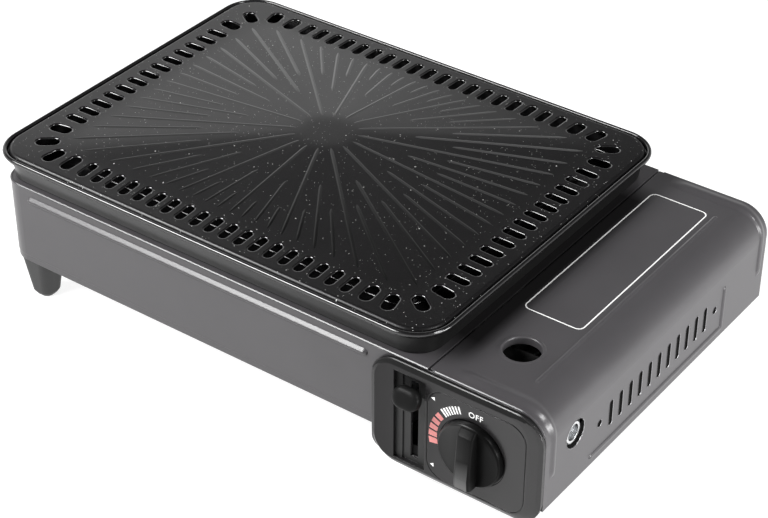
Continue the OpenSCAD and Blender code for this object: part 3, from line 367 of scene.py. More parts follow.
def enamel(name, rough, dimensions, layers, grain_strength, specular=0.5):
    """Black enamel with pale specks; layers gives (scale, radius, share) of each size of speck."""
    material = new_material(name)
    tree = material.node_tree
    coords = position(tree)
    mask = None
    for scale, radius, share in layers:
        layer = specks(tree, coords, dimensions, scale, radius, share)
        mask = layer if mask is None else arithmetic(tree, "MAXIMUM", mask, "Value", layer, "Value")
    sand = noise(tree, coords, "Object", 1500, 2.0, 0.6)
    ground = ramp(tree, sand, "Fac", [(0.35, (0.0030, 0.0029, 0.0031)), (0.62, (0.0060, 0.0057, 0.0061)),
                                      (0.72, (0.0160, 0.0153, 0.0160))])
    drive(material, "Base Color", mix(tree, mask, ground, (0.55, 0.55, 0.54)), "Color")
    uneven_gloss(material, noise(tree, coords, "Object", 22, 4.0, 0.6), rough)
    bump(material, noise(tree, coords, "Object", 950, 3.0, 0.6), grain_strength, 0.0003)
    shader_of(material).inputs["Specular IOR Level"].default_value = specular
    return material


def brushed(name, base, rough, stretch=(1, 1, 1)):
    """Metal with fine drawn lines."""
    material = new_material(name)
    tree = material.node_tree
    mapping = tree.nodes.new("ShaderNodeMapping")
    mapping.inputs["Scale"].default_value = stretch
    link(tree, position(tree), "Object", mapping, "Vector")
    lines = noise(tree, mapping, "Vector", 900, 3.0, 0.5)
    colour = ramp(tree, lines, "Fac", [(0.3, tinted(base, 0.86)), (0.7, base)])
    drive(material, "Base Color", colour, "Color")
    uneven_gloss(material, lines, rough)
    bump(material, lines, 0.05, 0.0001, 0.0004)
    shader_of(material).inputs["Metallic"].default_value = 1
    return material


def panel_plastic():
    """Fine-grained black moulding, duller towards the lever: its weaker reflections there are painted shade."""
    colours = ((0.0100, 0.0094, 0.0099), (0.0130, 0.0124, 0.0129))
    material = mottled("panel_plastic", colours, 40, (0.22, 0.28), 2400, 0.03, edge=0.0006)
    graded_gloss(material, "X", SEAM_X - 40 * MM, SEAM_X + 60 * MM, 0.14, 0.46)
    return material


def toe_plastic():
    """Moulding that is palest and glossiest at the grip bar's lower end."""
    material = mottled("toe_plastic", None, 80, (0.35, 0.45), 2200, 0.05)
    tree = material.node_tree
    foot = KNOB_LOW.z + 4 * MM
    height_share = along_axis(tree, "Z", foot, KNOB_MIDDLE.z, 0, 1)
    colour = ramp(tree, height_share, "Result", greys((0, 0.080), (0.45, 0.040), (1, 0.006)))
    drive(material, "Base Color", colour, "Color")
    graded_gloss(material, "Z", foot, KNOB_MIDDLE.z, 0.4, 0.1)
    return material


def knob_plastic():
    """Satin black moulding, paler and glossier on its left as painted light, darker on its right as painted shade
    of the grip bar.
    """
    material = mottled("knob_plastic", None, 60, (0.26, 0.34), 2200, 0.05)
    tree = material.node_tree
    left = KNOB_MIDDLE.x - 14 * MM
    right = KNOB_MIDDLE.x + 8 * MM
    painted_light_place = along_axis(tree, "X", left, right, 0, 1)
    drive(material, "Base Color", ramp(tree, painted_light_place, "Result", greys((0, 0.012), (1, 0.003))), "Color")
    graded_gloss(material, "X", left, right, 0.22, 0.06)
    return material


def plate_enamel():
    """Satin enamel of the plate, duller towards its right edge."""
    layers = [(70, 0.034, 0.2), (300, 0.09, 0.10), (620, 0.12, 0.05)]
    material = enamel("satin_enamel", (0.32, 0.39), "2D", layers, 0.12)
    graded_gloss(material, "X", RIM_CENTRE.x - 30 * MM, RIM_HIGH.x, 0.43, 0.19)
    return material


def wall_enamel():
    """Enamel of the tray's outer wall, paler towards its left as a painted reflection of the bright front-left,
    darker and duller towards its right as painted shade.
    """
    material = mottled("wall_enamel", None, 60, (0.30, 0.40), 950, 0.05)
    tree = material.node_tree
    along = along_axis(tree, "X", RIM_LOW.x, RIM_HIGH.x, 0, 1)
    colour = ramp(tree, along, "Result", greys((0, 0.036), (0.3, 0.020), (0.9, 0.018), (1, 0.003)))
    drive(material, "Base Color", colour, "Color")
    graded_gloss(material, "X", RIM_CENTRE.x, RIM_HIGH.x, 0.5, 0.1)
    return material


def rib_enamel():
    """Enamel of the ribs, palest at the plate's back and left as a painted sheen where they catch the light."""
    material = mottled("rib_enamel", None, 700, (0.34, 0.42), 950, 0.10)
    tree = material.node_tree
    front = RIM_CENTRE.y - 100 * MM
    back = along_axis(tree, "Y", front, RIM_CENTRE.y + 100 * MM, 0, 0.75)
    left = along_axis(tree, "X", RIM_CENTRE.x - 180 * MM, RIM_CENTRE.x + 180 * MM, 0.48, 0)
    for node in (back, left):
        node.clamp = False
    painted_light_place = arithmetic(tree, "ADD", back, "Result", left, "Result")
    colour = ramp(tree, painted_light_place, "Value", greys((0.2, 0.0035), (0.6, 0.028), (1, 0.058)))
    drive(material, "Base Color", colour, "Color")
    graded_gloss(material, "Y", front, RIM_CENTRE.y + 20 * MM, 0.2, 0.5)
    return material


def printed(name, colour):
    """Thin screen-printed ink."""
    return mottled(name, (tinted(colour, 0.9), colour), 300, (0.5, 0.6), 2500, 0.04)


MATERIALS = {
    "body_paint": body_paint(),
    # The deck's strip and the lid beside the tray carry painted shade and a painted dark reflection of the tray's
    # wall.
    "deck_paint": rim_shaded_paint(SEAM_X - 16 * MM, SEAM_X - 11 * MM, 0, 1),
    "lid_paint": rim_shaded_paint(SEAM_X + 8 * MM, SEAM_X + 17.5 * MM, 1, 0),
    "plate_enamel": plate_enamel(),
    "wall_enamel": wall_enamel(),
    "rib_enamel": rib_enamel(),
    "enamel": enamel("gloss_enamel", (0.13, 0.20), "3D", [(200, 0.05, 0.3)], 0.03, 0.75),
    "lip_enamel": enamel("lip_enamel", (0.10, 0.16), "3D", [(200, 0.05, 0.1)], 0.02, 0.9),
    "panel_plastic": panel_plastic(),
    "knob_plastic": knob_plastic(),
    "toe_plastic": toe_plastic(),
    "plain_steel": brushed("plain_steel", (0.58, 0.59, 0.60), (0.24, 0.38), (1, 0.05, 1)),
    "bare_edge": brushed("bare_edge", (0.50, 0.50, 0.51), (0.24, 0.34)),
    "bright_screws": brushed("bright_screws", (0.66, 0.67, 0.68), (0.18, 0.30)),
    "chrome_inlet": brushed("chrome_inlet", (0.86, 0.87, 0.88), (0.14, 0.22)),
    "brass": brushed("brass", (0.66, 0.47, 0.20), (0.20, 0.32)),
    "copper_pipe": mottled("copper_pipe", ((0.46, 0.23, 0.13), (0.60, 0.33, 0.20)), 90, (0.26, 0.40),
                           900, 0.05, metallic=1.0),
    "ceramic": mottled("ceramic", ((0.62, 0.60, 0.54), (0.70, 0.68, 0.62)), 80, (0.16, 0.26), 700, 0.04),
    "white_ink": printed("white_ink", (0.86, 0.86, 0.85)),
    "red_ink": printed("red_ink", (0.60, 0.21, 0.20)),
}

# Plain greys: darkest, lightest, scale of the clouds, roughness, scale and strength of the grain, and more
GREY_FINISHES = (
    # The bay floor's black coat, with its reflections cut down so that it also stands for painted shade inside the
    # bay.
    ("bay_black", 0.006, 0.009, 30, (0.60, 0.72), 1500, 0.10, {"specular": 0.05}),
    ("zinc_sheet", 0.36, 0.50, 120, (0.38, 0.55), 700, 0.05, {"metallic": 1.0}),
    # Zinc darkened as painted shade, for the cartridge bracket inside the bay.
    ("shaded_zinc", 0.05, 0.08, 120, (0.50, 0.65), 700, 0.05, {"metallic": 1.0}),
    ("burner_steel", 0.24, 0.38, 60, (0.40, 0.60), 600, 0.06, {"metallic": 1.0}),
    ("cast_alloy", 0.42, 0.54, 200, (0.42, 0.55), 1300, 0.14, {"metallic": 1.0, "edge": 0.0006}),
    ("recess_plastic", 0.014, 0.018, 60, (0.42, 0.52), 2200, 0.05, {"specular": 0.3}),
    # A near-black, barely reflecting coat used as painted shade on the panel's bevel, at the head of the lever
    # recess and in the lid's cuts.
    ("shade_black", 0.0060, 0.0085, 60, (0.50, 0.60), 2200, 0.05, {"specular": 0.1}),
    ("cap_plastic", 0.0055, 0.0075, 60, (0.36, 0.44), 2200, 0.05, {"specular": 0.08}),
    ("foot_plastic", 0.013, 0.019, 50, (0.45, 0.58), 1600, 0.12, {"edge": 0.0006}),
    ("cradle_plastic", 0.030, 0.042, 50, (0.50, 0.62), 1600, 0.12, {"specular": 0.2}),
    ("pad_rubber", 0.016, 0.024, 70, (0.62, 0.75), 1500, 0.15, {}),
    ("lead_silicone", 0.40, 0.47, 90, (0.45, 0.55), 900, 0.06, {}),
)
for name, dark, light, scale, rough, grain, strength, rest in GREY_FINISHES:
    MATERIALS[name] = mottled(name, (grey(dark), grey(light)), scale, rough, grain, strength, **rest)

# The deck and lid carry painted shade beside the tray; the cartridge bracket carries painted shade inside the bay.
OWN_FINISH = {"body_shell": "deck_paint", "lid_shell": "lid_paint", "cartridge_bracket": "shaded_zinc"}


def dress_cad_nodes():
    """Gives every CAD node the finish of its slot, or its own where it has one."""
    for part in frame["record"]["subparts"]:
        mesh = frame["nodes"][part["node"]].data
        mesh.materials.clear()
        mesh.materials.append(MATERIALS[OWN_FINISH.get(part["node"], part["material_slot"])])


# Mesh helpers

class Build:
    """Collects the points and faces of one mesh."""

    def __init__(self):
        self.points = []
        self.faces = []

    def add(self, points, faces):
        first = len(self.points)
        self.points.extend(points)
        self.faces.extend([tuple(first + i for i in face) for face in faces])

    def sheet(self, rows):
        """Joins rows of equally many points to an open sheet."""
        count = len(rows[0])
        faces = []
        for i in range(len(rows) - 1):
            for k in range(count - 1):
                near = i * count + k
                far = near + count
                faces.append((near, far, far + 1, near + 1))
        self.add([p for row in rows for p in row], faces)

    def loft(self, rings, closed=False, cap_first=False, cap_last=False):
        """Joins rings of equally many points; closed joins the last ring to the first."""
        count = len(rings[0])
        faces = []
        for i in range(len(rings) if closed else len(rings) - 1):
            j = (i + 1) % len(rings)
            for k in range(count):
                n = (k + 1) % count
                faces.append((i * count + k, i * count + n, j * count + n, j * count + k))
        if cap_first:
            faces.append(tuple(reversed(range(count))))
        if cap_last:
            faces.append(tuple(range((len(rings) - 1) * count, len(rings) * count)))
        self.add([p for ring in rings for p in ring], faces)


def add_piece(name, build, finish, body, replaces=(), smooth=True):
    """Makes an object of a build, in one of MATERIALS, and lets it ride on a body."""
    mesh = bpy.data.meshes.new(name)
    mesh.from_pydata([tuple(p) for p in build.points], [], build.faces)
    mesh.polygons.foreach_set("use_smooth", [smooth] * len(mesh.polygons))
    mesh.update()
    piece = bpy.data.objects.new(name, mesh)
    bpy.context.scene.collection.objects.link(piece)
    mesh.materials.append(MATERIALS[finish])
    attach(piece, body)
    if replaces:
        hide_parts(*replaces)
    return piece


def strip(name, rows, finish, body, smooth=False):
    """A thin open sheet through rows of equally many points."""
    build = Build()
    build.sheet(rows)
    add_piece(name, build, finish, body, smooth=smooth)


def circle(radius, steps):
    """Points round a circle."""
    angles = [TAU * k / steps for k in range(steps)]
    return [(radius * math.cos(a), radius * math.sin(a)) for a in angles]


def rounded_outline(half_x, half_y, radius, steps, edge_steps):
    """Points round a rounded rectangle, with its straight edges divided too."""
    corners = [(half_x - radius, half_y - radius, 0), (radius - half_x, half_y - radius, 1),
               (radius - half_x, radius - half_y, 2), (half_x - radius, radius - half_y, 3)]
    outline = []
    for cx, cy, quarter in corners:
        for k in range(steps + 1):
            a = math.pi / 2 * (quarter + k / steps)
            outline.append((cx + radius * math.cos(a), cy + radius * math.sin(a)))
    divided = []
    for i, (x, y) in enumerate(outline):
        divided.append((x, y))
        if i % (steps + 1) == steps:
            nx, ny = outline[(i + 1) % len(outline)]
            for k in range(1, edge_steps):
                t = k / edge_steps
                divided.append((x + (nx - x) * t, y + (ny - y) * t))
    return divided


def stadium_outline(length, width):
    """Points round a bar with round ends, along x."""
    half = (length - width) / 2
    steps = 9
    outline = []
    for side, turn in ((1, -math.pi / 2), (-1, math.pi / 2)):
        for k in range(steps + 1):
            a = turn + math.pi * k / steps
            outline.append((side * half + width / 2 * math.cos(a), width / 2 * math.sin(a)))
    return outline


def turned(outline, degrees, x, y):
    """An outline turned about its origin and then moved."""
    c = math.cos(math.radians(degrees))
    s = math.sin(math.radians(degrees))
    return [(x + px * c - py * s, y + px * s + py * c) for px, py in outline]


def swell(p):
    """A smooth hump: 1 at 0, falling to 0 at -1 and 1."""
    return (1 + math.cos(math.pi * p)) / 2


# Grill plate

def edge_distance(angle):
    """Distance from the plate's middle to its edge in a direction."""
    c = max(abs(math.cos(angle)), 1e-6)
    s = max(abs(math.sin(angle)), 1e-6)
    kx = EDGE_X - EDGE_RADIUS
    ky = EDGE_Y - EDGE_RADIUS
    if EDGE_X / c * s <= ky:
        return EDGE_X / c
    if EDGE_Y / s * c <= kx:
        return EDGE_Y / s
    b = c * kx + s * ky
    return b + math.sqrt(b * b - kx * kx - ky * ky + EDGE_RADIUS ** 2)


def edge_outline(inset):
    return rounded_outline(EDGE_X - inset, EDGE_Y - inset, EDGE_RADIUS - inset, 10, 40)


def within_edge(x, y, inset):
    return math.hypot(x, y) <= edge_distance(math.atan2(y, x)) - inset


def dome(x, y):
    """Height of the plate's top above the deck: a flat disc, a cone and a nearly flat border."""
    past = math.hypot(x, y) - DISC_RADIUS
    past = (past + math.sqrt(past * past + DISC_BLEND ** 2)) / 2
    share = past / (edge_distance(math.atan2(y, x)) - DISC_RADIUS)
    cone = KNEE_RISE + (DOME_RISE - KNEE_RISE) * (1 - share / KNEE_SHARE)
    border = KNEE_RISE * (1 - share) / (1 - KNEE_SHARE)
    return EDGE_Z + (cone + border + math.sqrt((cone - border) ** 2 + KNEE_BLEND ** 2)) / 2


def on_dome(x, y, drop=0):
    """A point on the dome, or that many millimetres under it."""
    return on_plate(x, y, dome(x, y) - drop)


def drain_slots():
    """(x, y, degrees, width) of every drain slot; wider ones fan round the corners."""
    cx = RIM_HALF_X - SLOT_IN_X
    cy = RIM_HALF_Y - SLOT_IN_Y
    end_x = (SLOTS_X - 1) / 2 * SLOT_PITCH_X
    end_y = (SLOTS_Y - 1) / 2 * SLOT_PITCH_Y
    first, second, third, corner = FAN_LEANS
    slots = []
    for s in (-1, 1):
        slots += [(-end_x + k * SLOT_PITCH_X, s * cy, 90, SLOT_WIDTH) for k in range(SLOTS_X)]
        slots += [(s * cx, -end_y + k * SLOT_PITCH_Y, 0, SLOT_WIDTH) for k in range(SLOTS_Y)]
        for t in (-1, 1):
            way = s * t
            slots.append((t * (end_x + FAN_STEP), s * cy, 90 - first * way, FAN_WIDTH))
            slots.append((t * (end_x + 2 * FAN_STEP + FAN_EXTRA), s * cy, 90 - second * way, FAN_WIDTH))
            slots.append((s * cx, t * (end_y + FAN_STEP + FAN_EXTRA), third * way, FAN_WIDTH))
            slots.append((s * (cx - CORNER_SLOT_IN_X), t * (cy - CORNER_SLOT_IN_Y), corner * way, FAN_WIDTH))
    return slots


def slot_outline(slot, grow):
    x, y, degrees, width = slot
    return turned(stadium_outline(SLOT_LENGTH + 2 * grow, width + 2 * grow), degrees, x, y)


def inside_slot(slot, x, y, grow):
    """Whether a place lies in a slot that has grown by some millimetres all round."""
    sx, sy, degrees, width = slot
    if max(abs(x - sx), abs(y - sy)) >= SLOT_REACH:
        return False
    a = math.radians(-degrees)
    u = (x - sx) * math.cos(a) - (y - sy) * math.sin(a)
    v = (x - sx) * math.sin(a) + (y - sy) * math.cos(a)
    over = max(abs(u) - (SLOT_LENGTH - width) / 2, 0)
    return math.hypot(over, v) < width / 2 + grow


def plate_sheet(slots):
    """Triangles of the domed sheet between its border and its slots, as flat points and faces."""
    points = []
    edges = []

    def ring(outline):
        first = len(points)
        points.extend(outline)
        edges.extend([(first + k, first + (k + 1) % len(outline)) for k in range(len(outline))])

    ring(edge_outline(BORDER))
    for slot in slots:
        ring(slot_outline(slot, SLOT_LIP))
    margin = BORDER + 2
    row_step = PLATE_GRID * 0.866
    columns = math.ceil(EDGE_X / PLATE_GRID)
    rows = math.ceil(EDGE_Y / row_step)
    for i in range(-columns, columns + 1):
        for j in range(-rows, rows + 1):
            x = (i + 0.5 * (j % 2)) * PLATE_GRID
            y = j * row_step
            if abs(x) > EDGE_X - margin or abs(y) > EDGE_Y - margin or not within_edge(x, y, margin):
                continue
            if any(inside_slot(slot, x, y, SLOT_LIP + 1.5) for slot in slots):
                continue
            points.append((x, y))
    flat, _, faces, _, _, _ = delaunay_2d_cdt([Vector(p) for p in points], edges, [], 0, 1e-5)
    kept = []
    for face in faces:
        x = sum(flat[k].x for k in face) / len(face)
        y = sum(flat[k].y for k in face) / len(face)
        if not within_edge(x, y, BORDER * 0.7):
            continue
        if any(inside_slot(slot, x, y, SLOT_LIP - 0.05) for slot in slots):
            continue
        kept.append(tuple(face))
    return flat, kept


def add_rib(build, angle, start):
    """A rounded rib that follows the dome outwards and sinks into it at both ends."""
    c = math.cos(angle)
    s = math.sin(angle)
    end = min(RIB_END_X / max(abs(c), 1e-6), RIB_END_Y / max(abs(s), 1e-6))
    rows = []
    for i in range(RIB_STEPS + 1):
        r = start + (end - start) * i / RIB_STEPS
        near = min((r - start) / RIB_RISE_LENGTH, (end - r) / RIB_FALL_LENGTH, 1)
        fade = math.sin(near * math.pi / 2)
        half_width = RIB_HALF_WIDTH * (0.4 + 0.6 * fade)
        row = []
        for p in (1, 0.8, 0.55, 0.28, 0, -0.28, -0.55, -0.8, -1):
            x = r * c + s * p * half_width
            y = r * s - c * p * half_width
            row.append(on_dome(x, y, RIB_SINK - (RIB_HEIGHT + RIB_SINK) * fade * swell(p)))
        rows.append(row)
    build.sheet(rows)


def turned_edge(build):
    """The plate's rounded edge, its skirt down to the tray's ledge and the way back underneath."""
    section = [(BORDER, 0)]
    for k in range(7):
        a = math.pi / 12 * k
        section.append((EDGE_ROUND * (1 - math.sin(a)), EDGE_ROUND * (1 - math.cos(a))))
    foot = EDGE_Z - LEDGE_Z
    section += [(0, foot), (PLATE_THICK, foot), (PLATE_THICK, EDGE_ROUND + 0.2), (EDGE_ROUND - 0.4, 1.8),
                (BORDER, PLATE_THICK)]
    build.loft([[on_dome(x, y, drop) for x, y in reversed(edge_outline(inset))] for inset, drop in section])


def grill_plate():
    slots = drain_slots()
    flat, faces = plate_sheet(slots)
    plate = Build()
    plate.add([on_dome(p.x, p.y) for p in flat], faces)
    plate.add([on_dome(p.x, p.y, PLATE_THICK) for p in flat], [tuple(reversed(face)) for face in faces])
    turned_edge(plate)
    lips = Build()
    section = ((SLOT_LIP, 0), (0.75, 0.09), (0.36, 0.32), (0.1, 0.66), (0, 1.05), (SLOT_LIP, PLATE_THICK))
    for slot in slots:
        lips.loft([[on_dome(x, y, drop) for x, y in slot_outline(slot, grow)] for grow, drop in section])
    ribs = Build()
    for k in range(RIB_COUNT):
        add_rib(ribs, TAU * k / RIB_COUNT, RIB_STARTS[k % 4])
    add_piece("enamelled_plate", plate, "plate_enamel", "plate", ["grill_plate"])
    add_piece("slot_lips", lips, "lip_enamel", "plate")
    add_piece("plate_ribs", ribs, "rib_enamel", "plate")


# Drip tray

def tray_ring(inset, z):
    """The tray's outline at an inset from its rim, at a height above the deck."""
    near_rim = inset < 20
    radius = RIM_RADIUS - inset if near_rim else WEIR_RADIUS + WEIR_IN - inset
    outline = rounded_outline(RIM_HALF_X - inset, RIM_HALF_Y - inset, radius, 12, 24)
    return [on_plate(x, y, z) for x, y in outline]


def roll_point(degrees):
    """A place on the rolled rim, as its inset and height."""
    a = math.radians(degrees)
    return (ROLL_RADIUS + ROLL_RADIUS * math.cos(a), RIM_TOP - ROLL_RADIUS + ROLL_RADIUS * math.sin(a))


def drip_tray():
    """The tray's cross-section, from its weir over floor, wall and rolled rim and back underneath."""
    weir_out = WEIR_IN - TRAY_THICK
    wall_in = WALL_IN_TOP + TRAY_THICK
    under = LEDGE_Z - TRAY_THICK
    section = [(WEIR_IN, -WEIR_DROP), (WEIR_IN, WEIR_TOP - 0.4), (WEIR_IN - 0.25, WEIR_TOP),
               (weir_out + 0.25, WEIR_TOP), (weir_out, WEIR_TOP - 0.4), (weir_out, 2.2),
               (weir_out - 0.4, 1.3), (weir_out - 1.4, 1.0), (WALL_IN_FOOT + 3.0, 1.0),
               (WALL_IN_FOOT + 1.6, 1.4), (WALL_IN_FOOT + 0.9, 2.6), (wall_in, LEDGE_Z - 0.5),
               (wall_in - 0.4, LEDGE_Z), (3.3, LEDGE_Z), (3.0, LEDGE_Z + 0.3)]
    section += [roll_point(a) for a in range(40, 271, 23)]
    section += [(ROLL_RADIUS, under + 0.4), (ROLL_RADIUS + 0.5, under), (WALL_IN_TOP - 0.4, under),
                (WALL_IN_TOP + 0.1, under - 0.5), (WALL_IN_FOOT - 0.1, 1.0), (WALL_IN_FOOT + 0.2, 0.3),
                (WALL_IN_FOOT + 0.9, 0), (weir_out - 0.3, 0), (weir_out, -0.3), (weir_out, -WEIR_DROP)]
    build = Build()
    build.loft([tray_ring(inset, z) for inset, z in reversed(section)], closed=True)
    add_piece("enamelled_tray", build, "enamel", "tray", ["drip_tray"])


def tray_wall():
    """A skin on the tray's outer wall, under its rim, that carries the wall's painted reflection and painted
    shade.
    """
    foot = tray_ring(WALL_IN_FOOT - 0.16, 1.0)
    head = tray_ring(WALL_IN_TOP + 0.04, LEDGE_Z - TRAY_THICK - 0.5)
    build = Build()
    build.loft([foot, head])
    add_piece("tray_wall", build, "wall_enamel", "tray")


# Knob and lever cap

def knob():
    """Control knob: a dished disc with a raised grip bar that is thickest near its lower end."""
    face = KNOB_BACK - 4.6
    disc = [(4.3, KNOB_BACK), (KNOB_RADIUS - 0.4, KNOB_BACK), (KNOB_RADIUS, KNOB_BACK - 0.4),
            (KNOB_RADIUS - 0.3, face + 1.2), (KNOB_RADIUS - 0.7, face + 0.5), (KNOB_RADIUS - 1.5, face),
            (KNOB_RADIUS - 2.6, face + 0.25), (KNOB_RADIUS - 4.5, face + 0.7), (6, face + 0.7)]
    build = Build()
    build.loft([[on_knob(x, y, z) for x, z in circle(radius, 64)] for radius, y in disc], cap_last=True)
    foot = face + 1.4
    end = KNOB_RADIUS - 1.5

    def bar_ring(z, share):
        """The bar's section at a height: two sides that lean in, and a crest with rounded edges."""
        top = foot + (KNOB_FRONT - foot) * share
        drop = min(1.1, 0.4 * (foot - top))
        right = [(4.4, top), (5, top + 0.12 * drop), (5.5, top + 0.5 * drop), (5.8, top + drop), (6.2, foot)]
        left = [(-x, y) for x, y in reversed(right)]
        return [on_knob(x, y, z) for x, y in left + right]

    crest = [(-end, 0.8), (-end + 0.3, 0.9), (-end + 1.2, 0.94), (-end + 8.4, 1.0), (-end + 9, 0.98),
             (4, 0.82), (end - 4.6, 0.66), (end - 4.2, 0.62), (end - 0.3, 0.3), (end, 0.15)]
    build.loft([bar_ring(z, share) for z, share in crest], cap_first=True, cap_last=True)
    piece = add_piece("moulded_knob", build, "knob_plastic", "control_knob", ["knob"])
    sharp = piece.modifiers.new("edges", "EDGE_SPLIT")
    sharp.split_angle = math.radians(38)


def grip_toe():
    """The paler lower end of the grip bar's crest."""
    section = [(-21.3, 0.62), (-20.8, 0.42), (-13.6, -0.06), (0, 1.2)]
    rows = [[on_knob(x, KNOB_FRONT + y, z) for z, y in section] for x in (-4.4, 4.4)]
    strip("grip_toe", rows, "toe_plastic", "control_knob")


def lever_cap():
    """A rounded thumb piece on the end of the lever, drawn level and tilted up to its rest."""
    joint = [j for j in frame["joints"] if j["name"] == "lever_swing"][0]
    pivot = Vector(joint["pos_m"])
    tilt = Matrix.Rotation(-math.radians(joint["range_deg"][1]) / 2, 4, "X")
    low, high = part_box("lever_cap")
    half_width = (high.x - low.x) / 2 / MM
    half_height = 7.5
    reach = 54
    rings = []
    for inset, back in ((3.2, 6.5), (0.9, 6.2), (0.1, 5.2), (0, 2.6), (0.35, 1.2), (1.2, 0.2), (2.6, -0.5),
                        (4.6, -0.8)):
        radius = max(half_height - inset - 0.3, 1)
        outline = rounded_outline(half_width - inset, half_height - inset, radius, 8, 3)
        rings.append([pivot + tilt @ Vector((x * MM, (back - reach) * MM, z * MM)) for x, z in outline])
    build = Build()
    build.loft(rings, cap_first=True, cap_last=True)
    add_piece("thumb_cap", build, "cap_plastic", "lever", ["lever_cap"])


# Sheet edges and beads that catch the light

def bead_cap():
    """The front wall's bead, with a slanted upper face, sunk into the wall at both ends."""
    left = BODY_LEFT + 28
    right = PANEL_LEFT - 8
    section = [(3.0, 0.02), (2.6, -0.12), (0.5, -2.15), (0.0, -2.35), (-0.7, -2.3), (-1.7, -1.7),
               (-2.7, -0.5), (-3.0, 0.02)]
    ends = [(3, 0.03), (2.2, 0.55), (1, 0.87), (0, 1)]
    path = [(right + past, share) for past, share in ends]
    path += [(left - past, share) for past, share in reversed(ends)]
    rows = [[at(x, y * share, BEAD_Z + z * (0.4 + 0.6 * share)) for z, y in section] for x, share in path]
    strip("bead_cap", rows, "body_paint", "housing")


def deck_edge():
    """The folded edge along the deck's left corner and front."""
    path = [(-0.8, 0, 0, -1)]
    for k in range(12, -1, -1):
        a = math.radians(205 + 65 * k / 12)
        c = math.cos(a)
        s = math.sin(a)
        path.append((BODY_LEFT + DECK_CORNER * (1 + c), DECK_CORNER * (1 + s), c, s))
    section = ((-1.4, 0.0), (-0.42, 0.4), (0.4, -0.4), (0.02, -1.3))
    rows = [[at(x + nx * out, y + ny * out, z) for out, z in section] for x, y, nx, ny in path]
    strip("deck_edge", rows, "body_paint", "housing")


def shoulder_point(degrees):
    """A place on the lid's rounded shoulder as x and z, and the direction out of it."""
    c = math.cos(math.radians(degrees))
    s = math.sin(math.radians(degrees))
    return (BAY_WIDTH - LID_SHOULDER * (1 - c), LID_SHOULDER * (s - 1), c, s)


def lid_edge():
    """The folded edge along the lid's front, over its shoulder; it stops short of the hinge notch."""
    path = [shoulder_point(20 + 70 * k / 12) for k in range(13)] + [(4.2, 0, 0, 1)]
    section = ((0.0, 1.4), (0.38, 0.4), (-0.34, -0.38), (-1.2, -0.02))
    rows = [[at(x + nx * out, LID_FRONT + y, z + nz * out) for out, y in section] for x, z, nx, nz in path]
    strip("lid_edge", rows, "body_paint", "lid")


def lid_humps():
    """The soft swellings over the lid's two beads, from the top over the shoulder and down the side."""
    path = []
    for x, share in ((13, 0.01), (16, 0.12), (19, 0.4), (22, 0.75), (25, 1)):
        path.append((x, 0, 0, 1, share, HUMP_TOP_WIDTH))
    for k in range(19):
        width = HUMP_TOP_WIDTH + (HUMP_SIDE_WIDTH - HUMP_TOP_WIDTH) * k / 18
        path.append((*shoulder_point(90 - 5 * k), 1, width))
    for z, share in ((-43, 1), (-45, 0.9), (-47, 0.5), (-49, 0.01)):
        path.append((BAY_WIDTH, z, 1, 0, share, HUMP_SIDE_WIDTH))
    profile = [k / 8 for k in range(-8, 9)]
    for name, middle in (("front_hump", HUMP_IN), ("rear_hump", BODY_DEPTH - HUMP_IN)):
        rows = []
        for x, z, nx, nz, share, width in path:
            row = []
            for p in profile:
                lift = 0.02 + HUMP_HEIGHT * share * swell(p)
                row.append(at(x + nx * lift, middle + p * width, z + nz * lift))
            rows.append(row)
        strip(name, rows, "body_paint", "lid", smooth=True)


def lid_lips():
    """The drawn edges of the holes in the lid's side, and the cut faces behind them, black as painted shade."""
    first = VENTS_Y - VENT_PITCH * (VENT_COUNT - 1) / 2
    holes = [(first + VENT_PITCH * k, VENTS_Z, VENT_LENGTH, VENT_WIDTH) for k in range(VENT_COUNT)]
    holes +=[(VENTS_Y + side * END_HOLE_OUT, VENTS_Z, END_HOLE, END_HOLE) for side in (-1, 1)]
    holes.append((INLET_Y, INLET_Z, INLET_HOLE, INLET_HOLE))

    def ring(hole, grow, out):
        y, z, length, width = hole
        outline = stadium_outline(length + 2 * grow, width + 2 * grow)
        return [at(BAY_WIDTH + out, y + across, z + along) for along, across in reversed(outline)]

    for name, finish, smooth, section in (
            ("lid_lips", "body_paint", True, ((0.9, 0.02), (0.6, 0.14), (0.3, 0.14))),
            ("lid_lip_edges", "bare_edge", False, ((0.3, 0.14), (0.02, -0.15))),
            ("lid_cuts", "shade_black", True, ((0.02, -0.15), (-0.04, -0.4), (-0.04, -1.02)))):
        build = Build()
        for hole in holes:
            build.loft([ring(hole, grow, out) for grow, out in section])
        add_piece(name, build, finish, "lid", smooth=smooth)


def finger_rim():
    """The raised round rim of the lid's finger hole."""
    rings = []
    for out, z in ((2.6, 0.02), (1.8, 0.42), (1.0, 0.6), (0.3, 0.4), (-0.06, -0.1), (-0.06, -0.9)):
        rings.append([at(FINGER_X + x, FINGER_Y + y, z) for x, y in circle(FINGER_RADIUS + out, 48)])
    build = Build()
    build.loft(rings)
    add_piece("finger_rim", build, "body_paint", "lid")


# The panel's edges and the lever's recess

